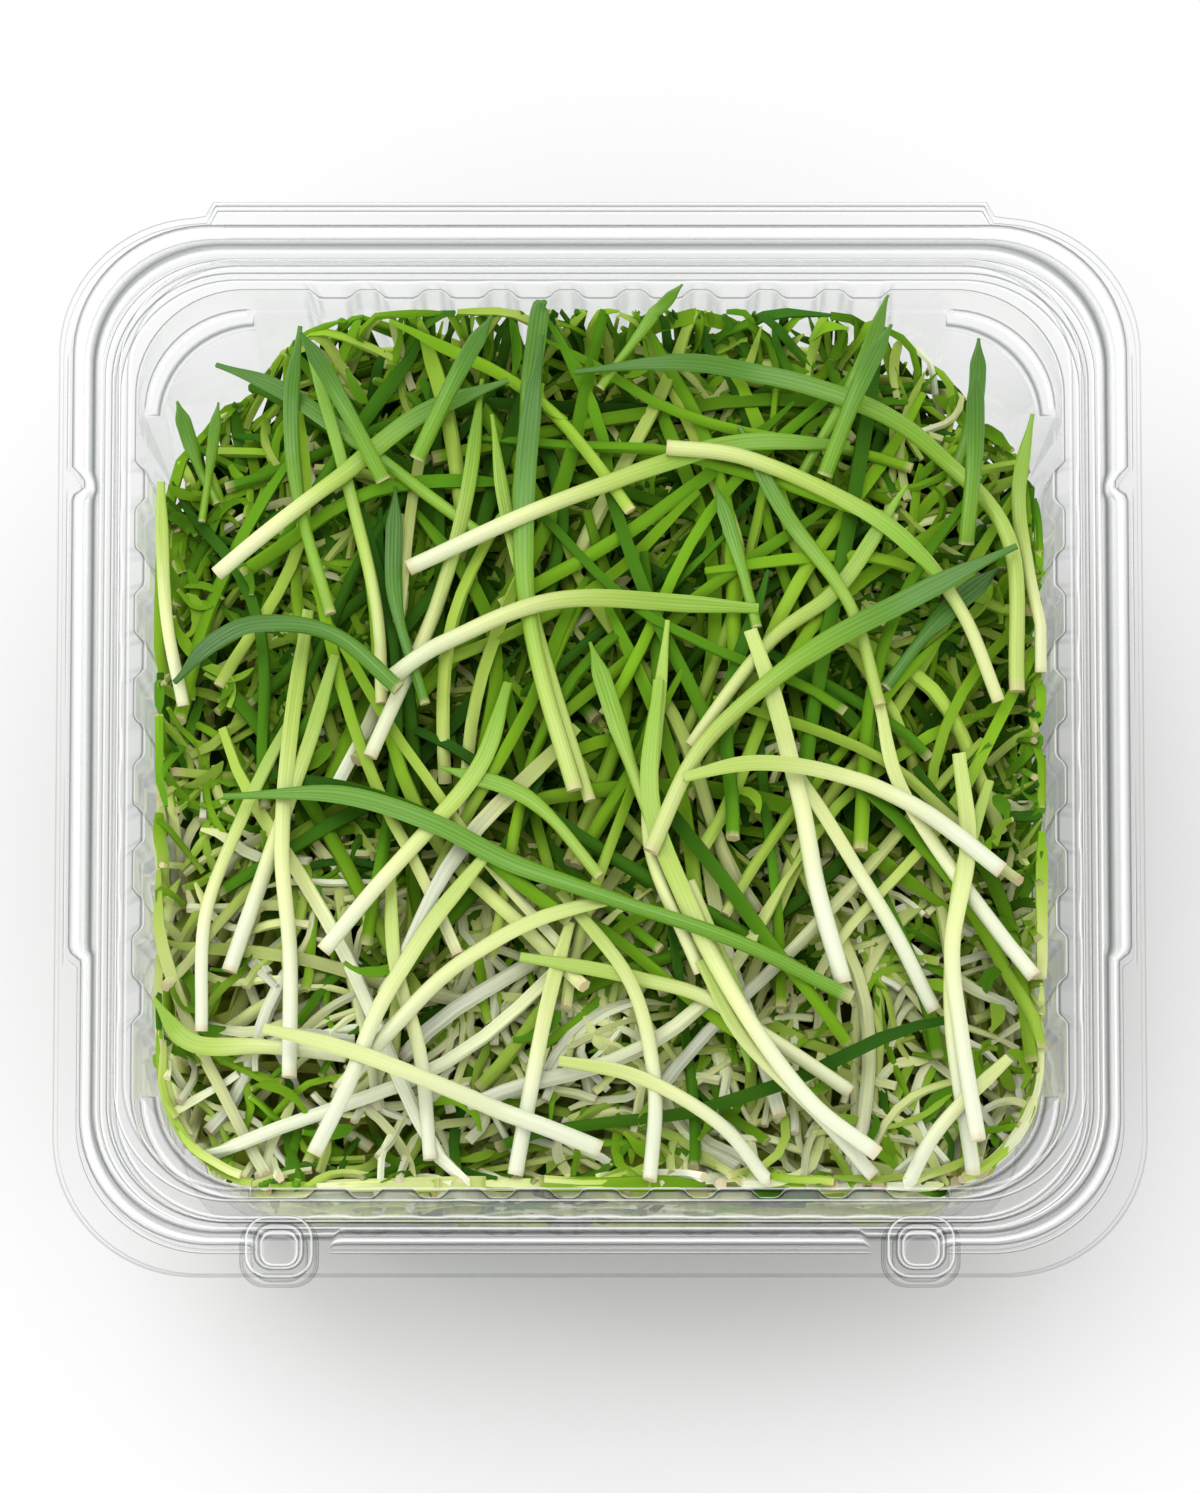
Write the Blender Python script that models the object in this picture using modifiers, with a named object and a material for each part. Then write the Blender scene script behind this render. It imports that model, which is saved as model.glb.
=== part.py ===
"""Hinged clear tray of cut leek microgreens, closed, with its two snaps at the front (-Y).

Lengths below are millimetres; they become metres where a mesh is made. Heights start at the
surface that the tray stands on. Plan positions are measured from the middle of the flange.
"""

import math
import random

import bmesh
import bpy
from mathutils import Matrix, Vector
from mathutils.bvhtree import BVHTree

MM = 0.001
SEED = 21

# The formed sheet
SHEET = 0.4
FLANGE_WIDTH = 130.0
FLANGE_DEPTH = 131.0
BASE_FLANGE_SETBACK = 0.5
CORNER_RADIUS = 17.0
RADIUS_FALL = 0.42
CORNER_STEPS = 6
RIM_HEIGHT = 46.0
LID_LIFT = 0.8
DOME_HEIGHT = 8.2
LID_BEAD_HEIGHT = 2.8
BASE_BEAD_HEIGHT = 1.9

# Where the lid's bead widens: along both sides, round the back corners, and out to the hinge
GRIP_FRONT = -28.6
GRIP_BACK = 31.0
NECK = 1.0
BEAD_WIDENING = 1.5
HINGE_REACH = 2.2
HINGE_HALF = 46.6
HINGE_RIDGE = 0.7
HINGE_GAP = 0.3
LID_OPENS = 180.0

# Ribbed wall of the lower half
OPENING_SHIFT = 0.8
SHELF_INSET = 9.4
RIB_DEPTH = 1.2
RIB_TOP = 3.2
RIB_SLOPE = 1.5
FRONT_RIBS = 9
FRONT_PITCH = 8.0
SIDE_RIBS = 7
SIDE_PITCH = 10.6
CORNER_LEDGE = 2.0
LEDGE_HEIGHT = 39.0
WALL_FOOT_INSET = 14.4
FOOT_RADIUS = 3.0
FOOT_WIDTH = 5.0
FLOOR_RAISE = 0.8

# Snaps on the front flange
SNAP_X = 38.0
SNAP_INSET = 2.9
SNAP_CORNER = 1.9
SNAP_CORNER_STEPS = 2
SNAP_WALL = 0.6

# The heap of cut stems
BED_TOP = 43.0
BED_CLEAR = 0.9
CORE_SINK = 4.0
CORE_CELLS = 8
TOP_STEMS = 44
WALL_STEMS = 6
STEM_WIDTH = 2.6
BLADE_THICK = 1.0
BLADE_WIDTH = 3.1
STEM_SIDES = 4
COLOUR_LINE = -12.0
COLOUR_GAP = 0.5
LAY_CLEAR = 0.3
LAY_SAG = 0.014
LAID_POINTS = 8

# Long stems on top, from cut end to tip: colour, then plan points and the height each is lifted
# above what it rests on
LAID_STEMS = [
    ("green", [(50, 8, 0), (49, 27, 0), (39, 39, 0), (27, 45, 0), (13, 48, 1), (-3, 47, 0)]),
    ("pale", [(45, -48, 0), (43, -35, 0), (42, -24, 0), (44, -12, 0), (43, 0, 0)]),
    ("pale", [(-37, -40, 0), (-37, -25, 0), (-38, -12, 0), (-37, 3, 0), (-35, 18, 0)]),
    ("green", [(-46, 22, 0), (-31, 34, 0), (-21, 42, 0), (-11, 46, 1)]),
    ("green", [(-3, -6, 0), (-7, 8, 0), (-9, 20, 0), (-9, 32, 1), (-8, 43, 3), (-7, 50, 5)]),
    ("pale", [(-23, 22, 0), (-5, 30, 0), (7, 35, 0), (17, 38, 0), (30, 38, 0)]),
    ("pale", [(-33, -25, 0), (-27, -18, 0), (-20, -10, 0), (-14, -2, 0), (-11, 8, 0)]),
    ("pale", [(33, -50, 0), (25, -44, 0), (17, -33, 0), (10, -19, 0), (6, -7, 0), (7, 8, 0)]),
    ("pale", [(29, -29, 0), (26, -18, 0), (24, -7, 0), (21, 5, 0), (18, 14, 0)]),
    ("pale", [(-31, -42, 0), (-24, -34, 0), (-17, -27, 0), (-8, -22, 0), (2, -19, 0)]),
    ("pale", [(-26, 7, 0), (-19, 12, 0), (-7, 17, 0), (5, 18, 0), (19, 17, 0)]),
    ("green", [(8, 37, 0), (17, 36, 0), (27, 32, 0), (35, 27, 0), (42, 20, 0)]),
    ("green", [(6, -14, 0), (12, -1, 0), (21, 8, 0), (31, 15, 0), (42, 21, 0), (50, 25, 1)]),
    ("pale", [(48, -15, 0), (39, -8, 0), (30, -4, 0), (19, -3, 0), (10, -5, 0)]),
    ("pale", [(-34, -50, 0), (-30, -42, 0), (-26, -32, 0), (-20, -22, 0), (-13, -13, 0)]),
    ("green", [(-24, 6, 0), (-32, 13, 0), (-41, 15, 0), (-47, 13, 0), (-51, 9, 1)]),
    ("pale", [(0, -49, 0), (-8, -46, 0), (-19, -42, 0), (-30, -38, 0), (-40, -35, 0)]),
    ("green", [(30, -31, 0), (17, -25, 0), (3, -20, 0), (-10, -15, 0), (-20, -10, 0), (-32, -6, 0),
               (-45, -6, 1)]),
    ("green", [(44, 26, 0), (45, 37, 3), (45, 46, 8)]),
    ("green", [(27, 34, 0), (31, 44, 3), (35, 51, 8)]),
    ("green", [(-26, 33, 0), (-32, 44, 3), (-36, 50, 8)]),
    ("green", [(-22, 36, 0), (-17, 46, 3), (-13, 52, 8)]),
]

COLOURS = {
    "clear_plastic": ((0.93, 0.95, 0.95, 0.3), 0.08),
    "pale_stem": ((0.78, 0.83, 0.55, 1.0), 0.4),
    "leaf_green": ((0.12, 0.32, 0.03, 1.0), 0.45),
}
SIDES = ("front", "right", "back", "left")
CORNERS = ((1, -1, -90), (1, 1, 0), (-1, 1, 90), (-1, -1, 180))


def clear_scene():
    for obj in list(bpy.data.objects):
        bpy.data.objects.remove(obj)


def material(name):
    colour, roughness = COLOURS[name]
    made = bpy.data.materials.new(name)
    made.use_nodes = True
    shader = made.node_tree.nodes["Principled BSDF"]
    shader.inputs["Base Color"].default_value = colour
    shader.inputs["Roughness"].default_value = roughness
    shader.inputs["Metallic"].default_value = 0.0
    shader.inputs["Alpha"].default_value = colour[3]
    return made


def collection(name):
    made = bpy.data.collections.new(name)
    bpy.context.scene.collection.children.link(made)
    return made


def new_object(name, bm, home):
    """A mesh object from a bmesh in millimetres, in metres, in the collection home."""
    bmesh.ops.scale(bm, vec=(MM, MM, MM), verts=bm.verts)
    mesh = bpy.data.meshes.new(name)
    bm.to_mesh(mesh)
    bm.free()
    obj = bpy.data.objects.new(name, mesh)
    home.objects.link(obj)
    return obj


def helper(obj):
    obj.hide_render = True
    obj.display_type = "WIRE"
    return obj


def thicken(obj, thickness):
    solid = obj.modifiers.new("sheet", "SOLIDIFY")
    solid.thickness = thickness * MM
    solid.offset = 0.0
    solid.use_even_offset = True


# Outlines of the formed sheet


def radius_at(inset):
    return CORNER_RADIUS - RADIUS_FALL * inset


def side_point(side, along, inset, shift):
    half_x = FLANGE_WIDTH / 2 - inset
    half_y = FLANGE_DEPTH / 2 - inset
    if side in ("front", "back"):
        return along, (half_y if side == "back" else -half_y) + shift
    return (half_x if side == "right" else -half_x), along + shift


def straight_half(side, inset):
    """Half the length of a side's straight stretch."""
    whole = FLANGE_WIDTH if side in ("front", "back") else FLANGE_DEPTH
    return whole / 2 - inset - radius_at(inset)


def rim_marks(side):
    """Places along a side where the bead widens or narrows: along, wide, hinge."""
    if side == "front":
        return []
    if side == "back":
        return [
            (HINGE_HALF + NECK, 1, 0),
            (HINGE_HALF, 1, 1),
            (-HINGE_HALF, 1, 1),
            (-HINGE_HALF - NECK, 1, 0),
        ]
    marks = [
        (GRIP_FRONT, 0, 0),
        (GRIP_FRONT + NECK, 1, 0),
        (GRIP_BACK, 1, 0),
        (GRIP_BACK + NECK, 0, 0),
        (GRIP_BACK + 2 * NECK, 0, 0),
        (GRIP_BACK + 3 * NECK, 1, 0),
    ]
    return marks if side == "right" else marks[::-1]


def rim_ring(inset, height, widen=0.0, reach=0.0, lift=0.0):
    """One loop of the rim, as a list of sides and corners. widen moves its wide stretches out,
    and reach and lift move the stretch at the hinge."""
    ring = []
    for side, (sign_x, sign_y, start) in zip(SIDES, CORNERS):
        fit = straight_half(side, inset) / straight_half(side, 0.0)
        stretch = []
        for along, wide, hinge in rim_marks(side):
            out = inset - widen * wide - reach * hinge
            x, y = side_point(side, along * fit, out, 0.0)
            stretch.append((x, y, height + lift * hinge))
        ring.append(stretch)
        out = inset - widen * (sign_y > 0)
        ring.append(corner_points(sign_x, sign_y, start, out, 0.0, height))
    return ring


def corner_points(sign_x, sign_y, start, inset, shift, height):
    radius = radius_at(inset)
    centre_x = sign_x * (FLANGE_WIDTH / 2 - inset - radius)
    centre_y = sign_y * (FLANGE_DEPTH / 2 - inset - radius) + shift
    points = []
    for step in range(CORNER_STEPS + 1):
        angle = math.radians(start + 90 * step / CORNER_STEPS)
        points.append(
            (centre_x + radius * math.cos(angle), centre_y + radius * math.sin(angle), height)
        )
    return points


def rib_marks(side):
    """Places along a side and the share of the rib's depth there."""
    count, pitch = (
        (FRONT_RIBS, FRONT_PITCH) if side in ("front", "back") else (SIDE_RIBS, SIDE_PITCH)
    )
    marks = []
    for rib in range(count):
        middle = (rib - (count - 1) / 2) * pitch
        marks += [
            (middle - RIB_TOP / 2 - RIB_SLOPE, 0.0),
            (middle - RIB_TOP / 2, 1.0),
            (middle + RIB_TOP / 2, 1.0),
            (middle + RIB_TOP / 2 + RIB_SLOPE, 0.0),
        ]
    return marks if side in ("front", "right") else marks[::-1]


def wall_ring(inset, height, depth=RIB_DEPTH, ledge=0.0):
    """One loop of the ribbed wall. ledge moves the plain corners in."""
    ring = []
    for side, (sign_x, sign_y, start) in zip(SIDES, CORNERS):
        stretch = []
        for along, share in rib_marks(side):
            x, y = side_point(side, along, inset + depth * share, OPENING_SHIFT)
            stretch.append((x, y, height))
        ring.append(stretch)
        ring.append(corner_points(sign_x, sign_y, start, inset + ledge, OPENING_SHIFT, height))
    return ring


def plain_ring(inset, height):
    """A loop with nothing between its corners."""
    ring = []
    for sign_x, sign_y, start in CORNERS:
        ring.append([])
        ring.append(corner_points(sign_x, sign_y, start, inset, OPENING_SHIFT, height))
    return ring


def loft(bm, rings, close=True):
    """Joins loops by quads where their marks match, and by one flat face a side where not.
    The last loop is closed by a face."""
    placed = [[[bm.verts.new(p) for p in part] for part in ring] for ring in rings]
    for outer, inner in zip(placed, placed[1:]):
        for i in range(0, len(outer), 2):
            before = outer[i - 1][-1], inner[i - 1][-1]
            after = outer[i + 1][0], inner[i + 1][0]
            rim = [before[0], *outer[i], after[0]]
            wall = [before[1], *inner[i], after[1]]
            if len(rim) == len(wall):
                for a in range(len(rim) - 1):
                    bm.faces.new((rim[a], rim[a + 1], wall[a + 1], wall[a]))
            else:
                bm.faces.new(rim + wall[::-1])
            for a in range(CORNER_STEPS):
                bm.faces.new(
                    (
                        outer[i + 1][a],
                        outer[i + 1][a + 1],
                        inner[i + 1][a + 1],
                        inner[i + 1][a],
                    )
                )
    if close:
        bm.faces.new([vert for part in placed[-1] for vert in part])


# The two halves of the tray


def snap_outline(half_x, half_y, centre_x, height):
    """A rounded square round a snap."""
    centre_y = -(FLANGE_DEPTH / 2 - SNAP_INSET)
    corner = min(SNAP_CORNER, half_x, half_y)
    points = []
    for sign_x, sign_y, start in CORNERS:
        for step in range(SNAP_CORNER_STEPS + 1):
            angle = math.radians(start + 90 * step / SNAP_CORNER_STEPS)
            x = centre_x + sign_x * (half_x - corner) + corner * math.cos(angle)
            y = centre_y + sign_y * (half_y - corner) + corner * math.sin(angle)
            points.append((x, y, height))
    return points


def snap_shell(name, levels, centre_x, home):
    """A hollow snap: levels are its rounded squares from the skirt to the sunk middle."""
    bm = bmesh.new()
    loops = [
        [bm.verts.new(p) for p in snap_outline(half_x, half_y, centre_x, height)]
        for half_x, half_y, height in levels
    ]
    for outer, inner in zip(loops, loops[1:]):
        for a in range(len(outer)):
            b = (a + 1) % len(outer)
            bm.faces.new((outer[a], outer[b], inner[b], inner[a]))
    bm.faces.new(loops[-1])
    obj = helper(new_object(name, bm, home))
    thicken(obj, SNAP_WALL)
    return obj


def snap_cutter(name, half_x, half_y, low, high, centre_x, home):
    """A prism that opens the sheet where a snap goes."""
    bm = bmesh.new()
    face = bm.faces.new([bm.verts.new(p) for p in snap_outline(half_x, half_y, centre_x, low)])
    pulled = bmesh.ops.extrude_face_region(bm, geom=[face])["geom"]
    tops = [item for item in pulled if isinstance(item, bmesh.types.BMVert)]
    bmesh.ops.translate(bm, vec=(0, 0, high - low), verts=tops)
    bmesh.ops.recalc_face_normals(bm, faces=bm.faces)
    return helper(new_object(name, bm, home))


def block(name, low, high, home):
    """A box between two corners."""
    bm = bmesh.new()
    made = bmesh.ops.create_cube(bm, size=1.0)["verts"]
    size = [b - a for a, b in zip(low, high)]
    middle = [(a + b) / 2 for a, b in zip(low, high)]
    bmesh.ops.scale(bm, vec=size, verts=made)
    bmesh.ops.translate(bm, vec=middle, verts=made)
    return helper(new_object(name, bm, home))


def boolean(obj, operation, other):
    modifier = obj.modifiers.new(operation.lower(), "BOOLEAN")
    modifier.operation = operation
    modifier.solver = "EXACT"
    modifier.operand_type = "COLLECTION"
    modifier.collection = other


def add_snaps(obj, levels, low, high, bead_break=0.0):
    """Opens the front flange in two places and sets a snap in each. bead_break is half the length
    of bead that gives way to a flat there, to clear the other half's snap."""
    cutters = collection(obj.name + "_cutters")
    snaps = collection(obj.name + "_snaps")
    half_x = levels[0][0] - SNAP_WALL / 4
    half_y = levels[0][1] - SNAP_WALL / 4
    for word, centre_x in (("left", -SNAP_X), ("right", SNAP_X)):
        name = f"{obj.name}_{word}"
        snap_cutter(name + "_cutter", half_x, half_y, low, high, centre_x, cutters)
        snap_shell(name + "_snap", levels, centre_x, snaps)
        if bead_break:
            front = -FLANGE_DEPTH / 2
            left, right = centre_x - bead_break, centre_x + bead_break
            gap = (left, front + 3.0, low + 1.0), (right, front + 5.6, high)
            flat = (left - 0.5, front + 3.2, low + 0.7), (right + 0.5, front + 5.4, low + 1.3)
            block(name + "_gap_cutter", *gap, cutters)
            block(name + "_flat", *flat, snaps)
    boolean(obj, "DIFFERENCE", cutters)
    boolean(obj, "UNION", snaps)


def make_tray(home):
    """Lower half: flange, seal bead, shelf, ribbed wall with plain corners, foot and floor."""
    rim = RIM_HEIGHT
    edge = BASE_FLANGE_SETBACK
    bead_top = rim + BASE_BEAD_HEIGHT
    rings = [
        rim_ring(edge, rim, reach=HINGE_REACH + edge - HINGE_GAP),
        rim_ring(3.7, rim, widen=0.9),
        rim_ring(3.9, bead_top, widen=0.9),
        rim_ring(4.7, bead_top),
        rim_ring(4.9, rim),
        rim_ring(7.0, rim),
        rim_ring(7.3, rim - 1.2),
        wall_ring(SHELF_INSET, rim - 1.2),
        wall_ring(SHELF_INSET + 0.7, LEDGE_HEIGHT),
        wall_ring(SHELF_INSET + 0.9, LEDGE_HEIGHT - 0.9, ledge=CORNER_LEDGE),
        wall_ring(WALL_FOOT_INSET, FOOT_RADIUS, depth=RIB_DEPTH / 2),
        wall_ring(WALL_FOOT_INSET + 2.4, SHEET / 2, depth=0.0),
        plain_ring(WALL_FOOT_INSET + FOOT_WIDTH, SHEET / 2),
        plain_ring(WALL_FOOT_INSET + FOOT_WIDTH + 0.9, SHEET / 2 + FLOOR_RAISE),
    ]
    bm = bmesh.new()
    loft(bm, rings)
    tray = new_object("tray", bm, home)
    thicken(tray, SHEET)
    levels = [
        (3.1, 3.1, rim - 0.5),
        (3.0, 3.0, rim + 2.2),
        (2.4, 2.4, rim + 2.2),
        (2.2, 2.2, rim + 0.8),
    ]
    add_snaps(tray, levels, rim - 1.0, bead_top + 1.0, bead_break=5.2)
    return tray


def make_lid(home):
    """Upper half: flange with the hinge fold, wide bead, valley and shallow dome."""
    rim = RIM_HEIGHT + LID_LIFT
    bead_top = rim + LID_BEAD_HEIGHT
    out = HINGE_REACH
    rings = [
        rim_ring(0.0, rim, reach=out - HINGE_GAP),
        rim_ring(0.3, rim, reach=out - 0.1, lift=HINGE_RIDGE),
        rim_ring(0.6, rim, reach=out - 0.4, lift=HINGE_RIDGE),
        rim_ring(0.9, rim, reach=out - 0.4),
        rim_ring(2.9, rim, widen=BEAD_WIDENING),
        rim_ring(3.1, bead_top, widen=BEAD_WIDENING),
        rim_ring(5.4, bead_top),
        rim_ring(5.6, rim + 0.6),
        rim_ring(6.6, rim + 0.6),
        rim_ring(7.4, rim + DOME_HEIGHT - 0.9),
        rim_ring(7.8, rim + DOME_HEIGHT - 0.2),
        rim_ring(8.6, rim + DOME_HEIGHT),
    ]
    bm = bmesh.new()
    loft(bm, rings)
    lid = new_object("lid", bm, home)
    thicken(lid, SHEET)
    levels = [
        (4.3, 4.0, rim - 0.3),
        (4.2, 3.9, rim + 3.5),
        (2.4, 2.3, rim + 3.5),
        (2.1, 2.0, rim + 2.4),
    ]
    add_snaps(lid, levels, rim - 1.0, rim + 5.0)
    return lid


# The heap of greens


def ease(value, low, high):
    """0 below low, 1 above high and smooth between."""
    t = min(1.0, max(0.0, (value - low) / (high - low)))
    return t * t * (3 - 2 * t)


def heap_height(x, y):
    """Top of the bed of stems: a mound that falls to the walls, most at the back corners."""
    u = min(1.0, abs(x) / 54.0)
    v = min(1.0, abs(y) / 54.0)
    fall = 11.0 * u**3.2
    if y < 0:
        fall += 9.0 * v**3.4
    else:
        fall += 12.0 * v**3.0 + 12.0 * ease(u, 0.62, 1.0) * ease(v, 0.62, 1.0)
    return BED_TOP - fall


def room_inset(height):
    """How far in from the flange's edge the ribs reach at a height."""
    share = min(1.0, max(0.0, height / RIM_HEIGHT))
    foot = WALL_FOOT_INSET + RIB_DEPTH
    top = SHELF_INSET + RIB_DEPTH + CORNER_LEDGE / 2
    return foot + (top - foot) * share


def keep_inside(x, y, height, margin):
    """The nearest plan point that is margin clear of the walls at a height."""
    inset = room_inset(height) + BED_CLEAR + margin
    radius = radius_at(inset) + 1.5
    span_x = FLANGE_WIDTH / 2 - inset - radius
    span_y = FLANGE_DEPTH / 2 - inset - radius
    away_x = max(0.0, abs(x) - span_x)
    away_y = max(0.0, abs(y - OPENING_SHIFT) - span_y)
    away = math.hypot(away_x, away_y)
    pull = radius / away if away > radius else 1.0
    held_x = min(abs(x), span_x) + away_x * pull
    held_y = min(abs(y - OPENING_SHIFT), span_y) + away_y * pull
    return math.copysign(held_x, x), math.copysign(held_y, y - OPENING_SHIFT) + OPENING_SHIFT


def make_core(bm, rng):
    """The packed middle of the heap, which the stems stand out of."""
    count = CORE_CELLS
    floor = SHEET + FLOOR_RAISE + BED_CLEAR
    rows = []
    for j in range(count + 1):
        row = []
        for i in range(count + 1):
            u = 2 * i / count - 1
            v = 2 * j / count - 1
            x, y = keep_inside(60 * u, 60 * v, 20.0, 2.2)
            bump = rng.uniform(-1.4, 1.0)
            row.append(bm.verts.new((x, y, heap_height(x, y) - CORE_SINK + bump)))
        rows.append(row)
    for j in range(count):
        for i in range(count):
            bm.faces.new((rows[j][i], rows[j][i + 1], rows[j + 1][i + 1], rows[j + 1][i]))
    border = (
        rows[0][:-1]
        + [row[-1] for row in rows[:-1]]
        + rows[-1][:0:-1]
        + [row[0] for row in rows[:0:-1]]
    )
    feet = []
    for vert in border:
        x, y = keep_inside(vert.co.x, vert.co.y, 0.0, 2.2)
        feet.append(bm.verts.new((x, y, floor)))
    for a in range(len(border)):
        b = (a + 1) % len(border)
        bm.faces.new((feet[a], feet[b], border[b], border[a]))
    bm.faces.new(feet[::-1])


def tube(bm, points, widths, thicks, sides=STEM_SIDES):
    """A closed stem along points, flattened where its thickness is less than its width."""
    loops = []
    for i, point in enumerate(points):
        here = Vector(point)
        along = Vector(points[min(i + 1, len(points) - 1)]) - Vector(points[max(i - 1, 0)])
        along.normalize()
        across = along.cross(Vector((0, 0, 1)))
        if across.length < 0.2:
            across = along.cross(Vector((1, 0, 0)))
        across.normalize()
        up = across.cross(along)
        loop = []
        for side in range(sides):
            angle = 2 * math.pi * side / sides
            spot = here + across * (widths[i] / 2 * math.cos(angle))
            loop.append(bm.verts.new(spot + up * (thicks[i] / 2 * math.sin(angle))))
        loops.append(loop)
    for first, second in zip(loops, loops[1:]):
        for a in range(sides):
            b = (a + 1) % sides
            bm.faces.new((first[a], first[b], second[b], second[a]))
    bm.faces.new(loops[0][::-1])
    bm.faces.new(loops[-1])


def stem_sizes(count, scale=1.0):
    """Widths and thicknesses from the round cut end to the flat pointed tip."""
    widths = []
    thicks = []
    for i in range(count):
        t = i / (count - 1)
        narrow = 1 - 0.7 * ease(t, 0.8, 1.0)
        widths.append((STEM_WIDTH + (BLADE_WIDTH - STEM_WIDTH) * ease(t, 0.3, 0.6)) * narrow * scale)
        thick = STEM_WIDTH + (BLADE_THICK - STEM_WIDTH) * ease(t, 0.25, 0.65)
        thicks.append(thick * scale)
    return widths, thicks


def stem_object(name, points, home, scale=1.0):
    bm = bmesh.new()
    widths, thicks = stem_sizes(len(points), scale)
    tube(bm, points, widths, thicks)
    bmesh.ops.recalc_face_normals(bm, faces=bm.faces)
    return new_object(name, bm, home)


def lying_stem(rng):
    """A stem lying on the heap, cut end towards the front, half sunk in its neighbours."""
    x = rng.uniform(-48, 48)
    y = rng.uniform(-54, 30)
    heading = math.radians(90 + rng.gauss(0, 34))
    curl = rng.uniform(-0.016, 0.016)
    length = rng.uniform(38, 66)
    count = 6
    step = length / (count - 1)
    waves = rng.uniform(0.6, 1.6)
    phase = rng.uniform(0, 2 * math.pi)
    points = []
    for i in range(count):
        held_x, held_y = keep_inside(x, y, 38.0, STEM_WIDTH / 2 + rng.uniform(0.0, 0.9))
        dip = -2.4 + 1.5 * math.sin(phase + waves * math.pi * i / (count - 1) * 2)
        points.append((held_x, held_y, heap_height(held_x, held_y) + dip))
        x += step * math.cos(heading)
        y += step * math.sin(heading)
        heading += curl * step
    return points


def wall_stem(rng, side):
    """A stem seen through a wall: it leans against the heap's side."""
    half = 46.0
    along = rng.uniform(-half, half - 12)
    turn = math.radians(rng.uniform(15, 165))
    length = rng.uniform(24, 42)
    low = rng.uniform(3.5, 24.0)
    count = 6
    points = []
    for i in range(count):
        s = length * i / (count - 1)
        place = along + s * math.cos(turn)
        height = low + s * math.sin(turn)
        place = min(half, max(-half, place)) + rng.uniform(-0.6, 0.6)
        x, y = side_point(side, place, 0.0, OPENING_SHIFT)
        x, y = keep_inside(x, y, height, STEM_WIDTH * 0.55 + rng.uniform(0.0, 0.7))
        top = heap_height(x, y) - rng.uniform(1.6, 2.4)
        low_limit = SHEET + FLOOR_RAISE + BED_CLEAR + rng.uniform(1.3, 1.9)
        points.append((x, y, max(low_limit, min(height, top))))
    spaced = [points[0]]
    for point in points[1:]:
        if (Vector(point) - Vector(spaced[-1])).length > 1.5:
            spaced.append(point)
    return spaced


def colour_cutter(name, behind, home):
    """A block with a zigzag face that parts the pale stems from the green leaves."""
    teeth = 8
    far = 80.0
    offset = COLOUR_GAP / 2 * (1 if behind else -1)
    edge = []
    for i in range(2 * teeth + 1):
        x = -far + far * i / teeth
        edge.append((x, COLOUR_LINE + offset + (5.0 if i % 2 else -5.0)))
    reach = far if behind else -far
    outline = edge + [(far, reach), (-far, reach)]
    bm = bmesh.new()
    face = bm.faces.new([bm.verts.new((x, y, -10.0)) for x, y in outline])
    pulled = bmesh.ops.extrude_face_region(bm, geom=[face])["geom"]
    tops = [item for item in pulled if isinstance(item, bmesh.types.BMVert)]
    bmesh.ops.translate(bm, vec=(0, 0, 90.0), verts=tops)
    bmesh.ops.recalc_face_normals(bm, faces=bm.faces)
    return helper(new_object(name, bm, home))


def evaluated_copy(obj, name):
    """A new mesh of the object with its modifiers applied."""
    bpy.context.view_layer.update()
    graph = bpy.context.evaluated_depsgraph_get()
    mesh = bpy.data.meshes.new_from_object(obj.evaluated_get(graph))
    mesh.name = name
    return mesh


def largest_body(mesh):
    """Drops every loose scrap of a mesh but its largest body."""
    bm = bmesh.new()
    bm.from_mesh(mesh)
    unseen = set(bm.verts)
    bodies = []
    while unseen:
        stack = [unseen.pop()]
        body = []
        while stack:
            vert = stack.pop()
            body.append(vert)
            for edge in vert.link_edges:
                other = edge.other_vert(vert)
                if other in unseen:
                    unseen.remove(other)
                    stack.append(other)
        bodies.append(body)
    bodies.sort(key=len)
    for body in bodies[:-1]:
        bmesh.ops.delete(bm, geom=body, context="VERTS")
    bm.to_mesh(mesh)
    bm.free()


def make_bed(home):
    """The bed of stems, fused to its packed core and parted in a pale and a green node."""
    rng = random.Random(SEED)
    bm = bmesh.new()
    make_core(bm, rng)
    bmesh.ops.recalc_face_normals(bm, faces=bm.faces)
    core = new_object("bed_core", bm, home)
    repeats = collection("bed_stems")
    for i in range(TOP_STEMS):
        stem_object(f"lying_{i:03d}", lying_stem(rng), repeats)
    for side in SIDES:
        for i in range(WALL_STEMS):
            stem_object(f"{side}_{i:02d}", wall_stem(rng, side), repeats, scale=0.95)
    joined = core.modifiers.new("join", "BOOLEAN")
    joined.operation = "UNION"
    joined.solver = "MANIFOLD"
    joined.operand_type = "COLLECTION"
    joined.collection = repeats
    whole = evaluated_copy(core, "bed")
    bpy.data.objects.remove(core)
    for obj in list(repeats.objects):
        bpy.data.objects.remove(obj)
    bpy.data.collections.remove(repeats)
    cutters = collection("colour_cutters")
    beds = []
    for name, behind in (("pale_stem_bed", False), ("green_leaf_bed", True)):
        bed = bpy.data.objects.new(name, whole.copy())
        home.objects.link(bed)
        cutter = colour_cutter(name + "_cutter", behind, cutters)
        part = bed.modifiers.new("part", "BOOLEAN")
        part.operation = "INTERSECT"
        part.solver = "MANIFOLD"
        part.object = cutter
        mesh = evaluated_copy(bed, name)
        bed.modifiers.clear()
        bed.data = mesh
        largest_body(mesh)
        bpy.data.objects.remove(cutter)
        beds.append(bed)
    return beds


# The long stems on top


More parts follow.
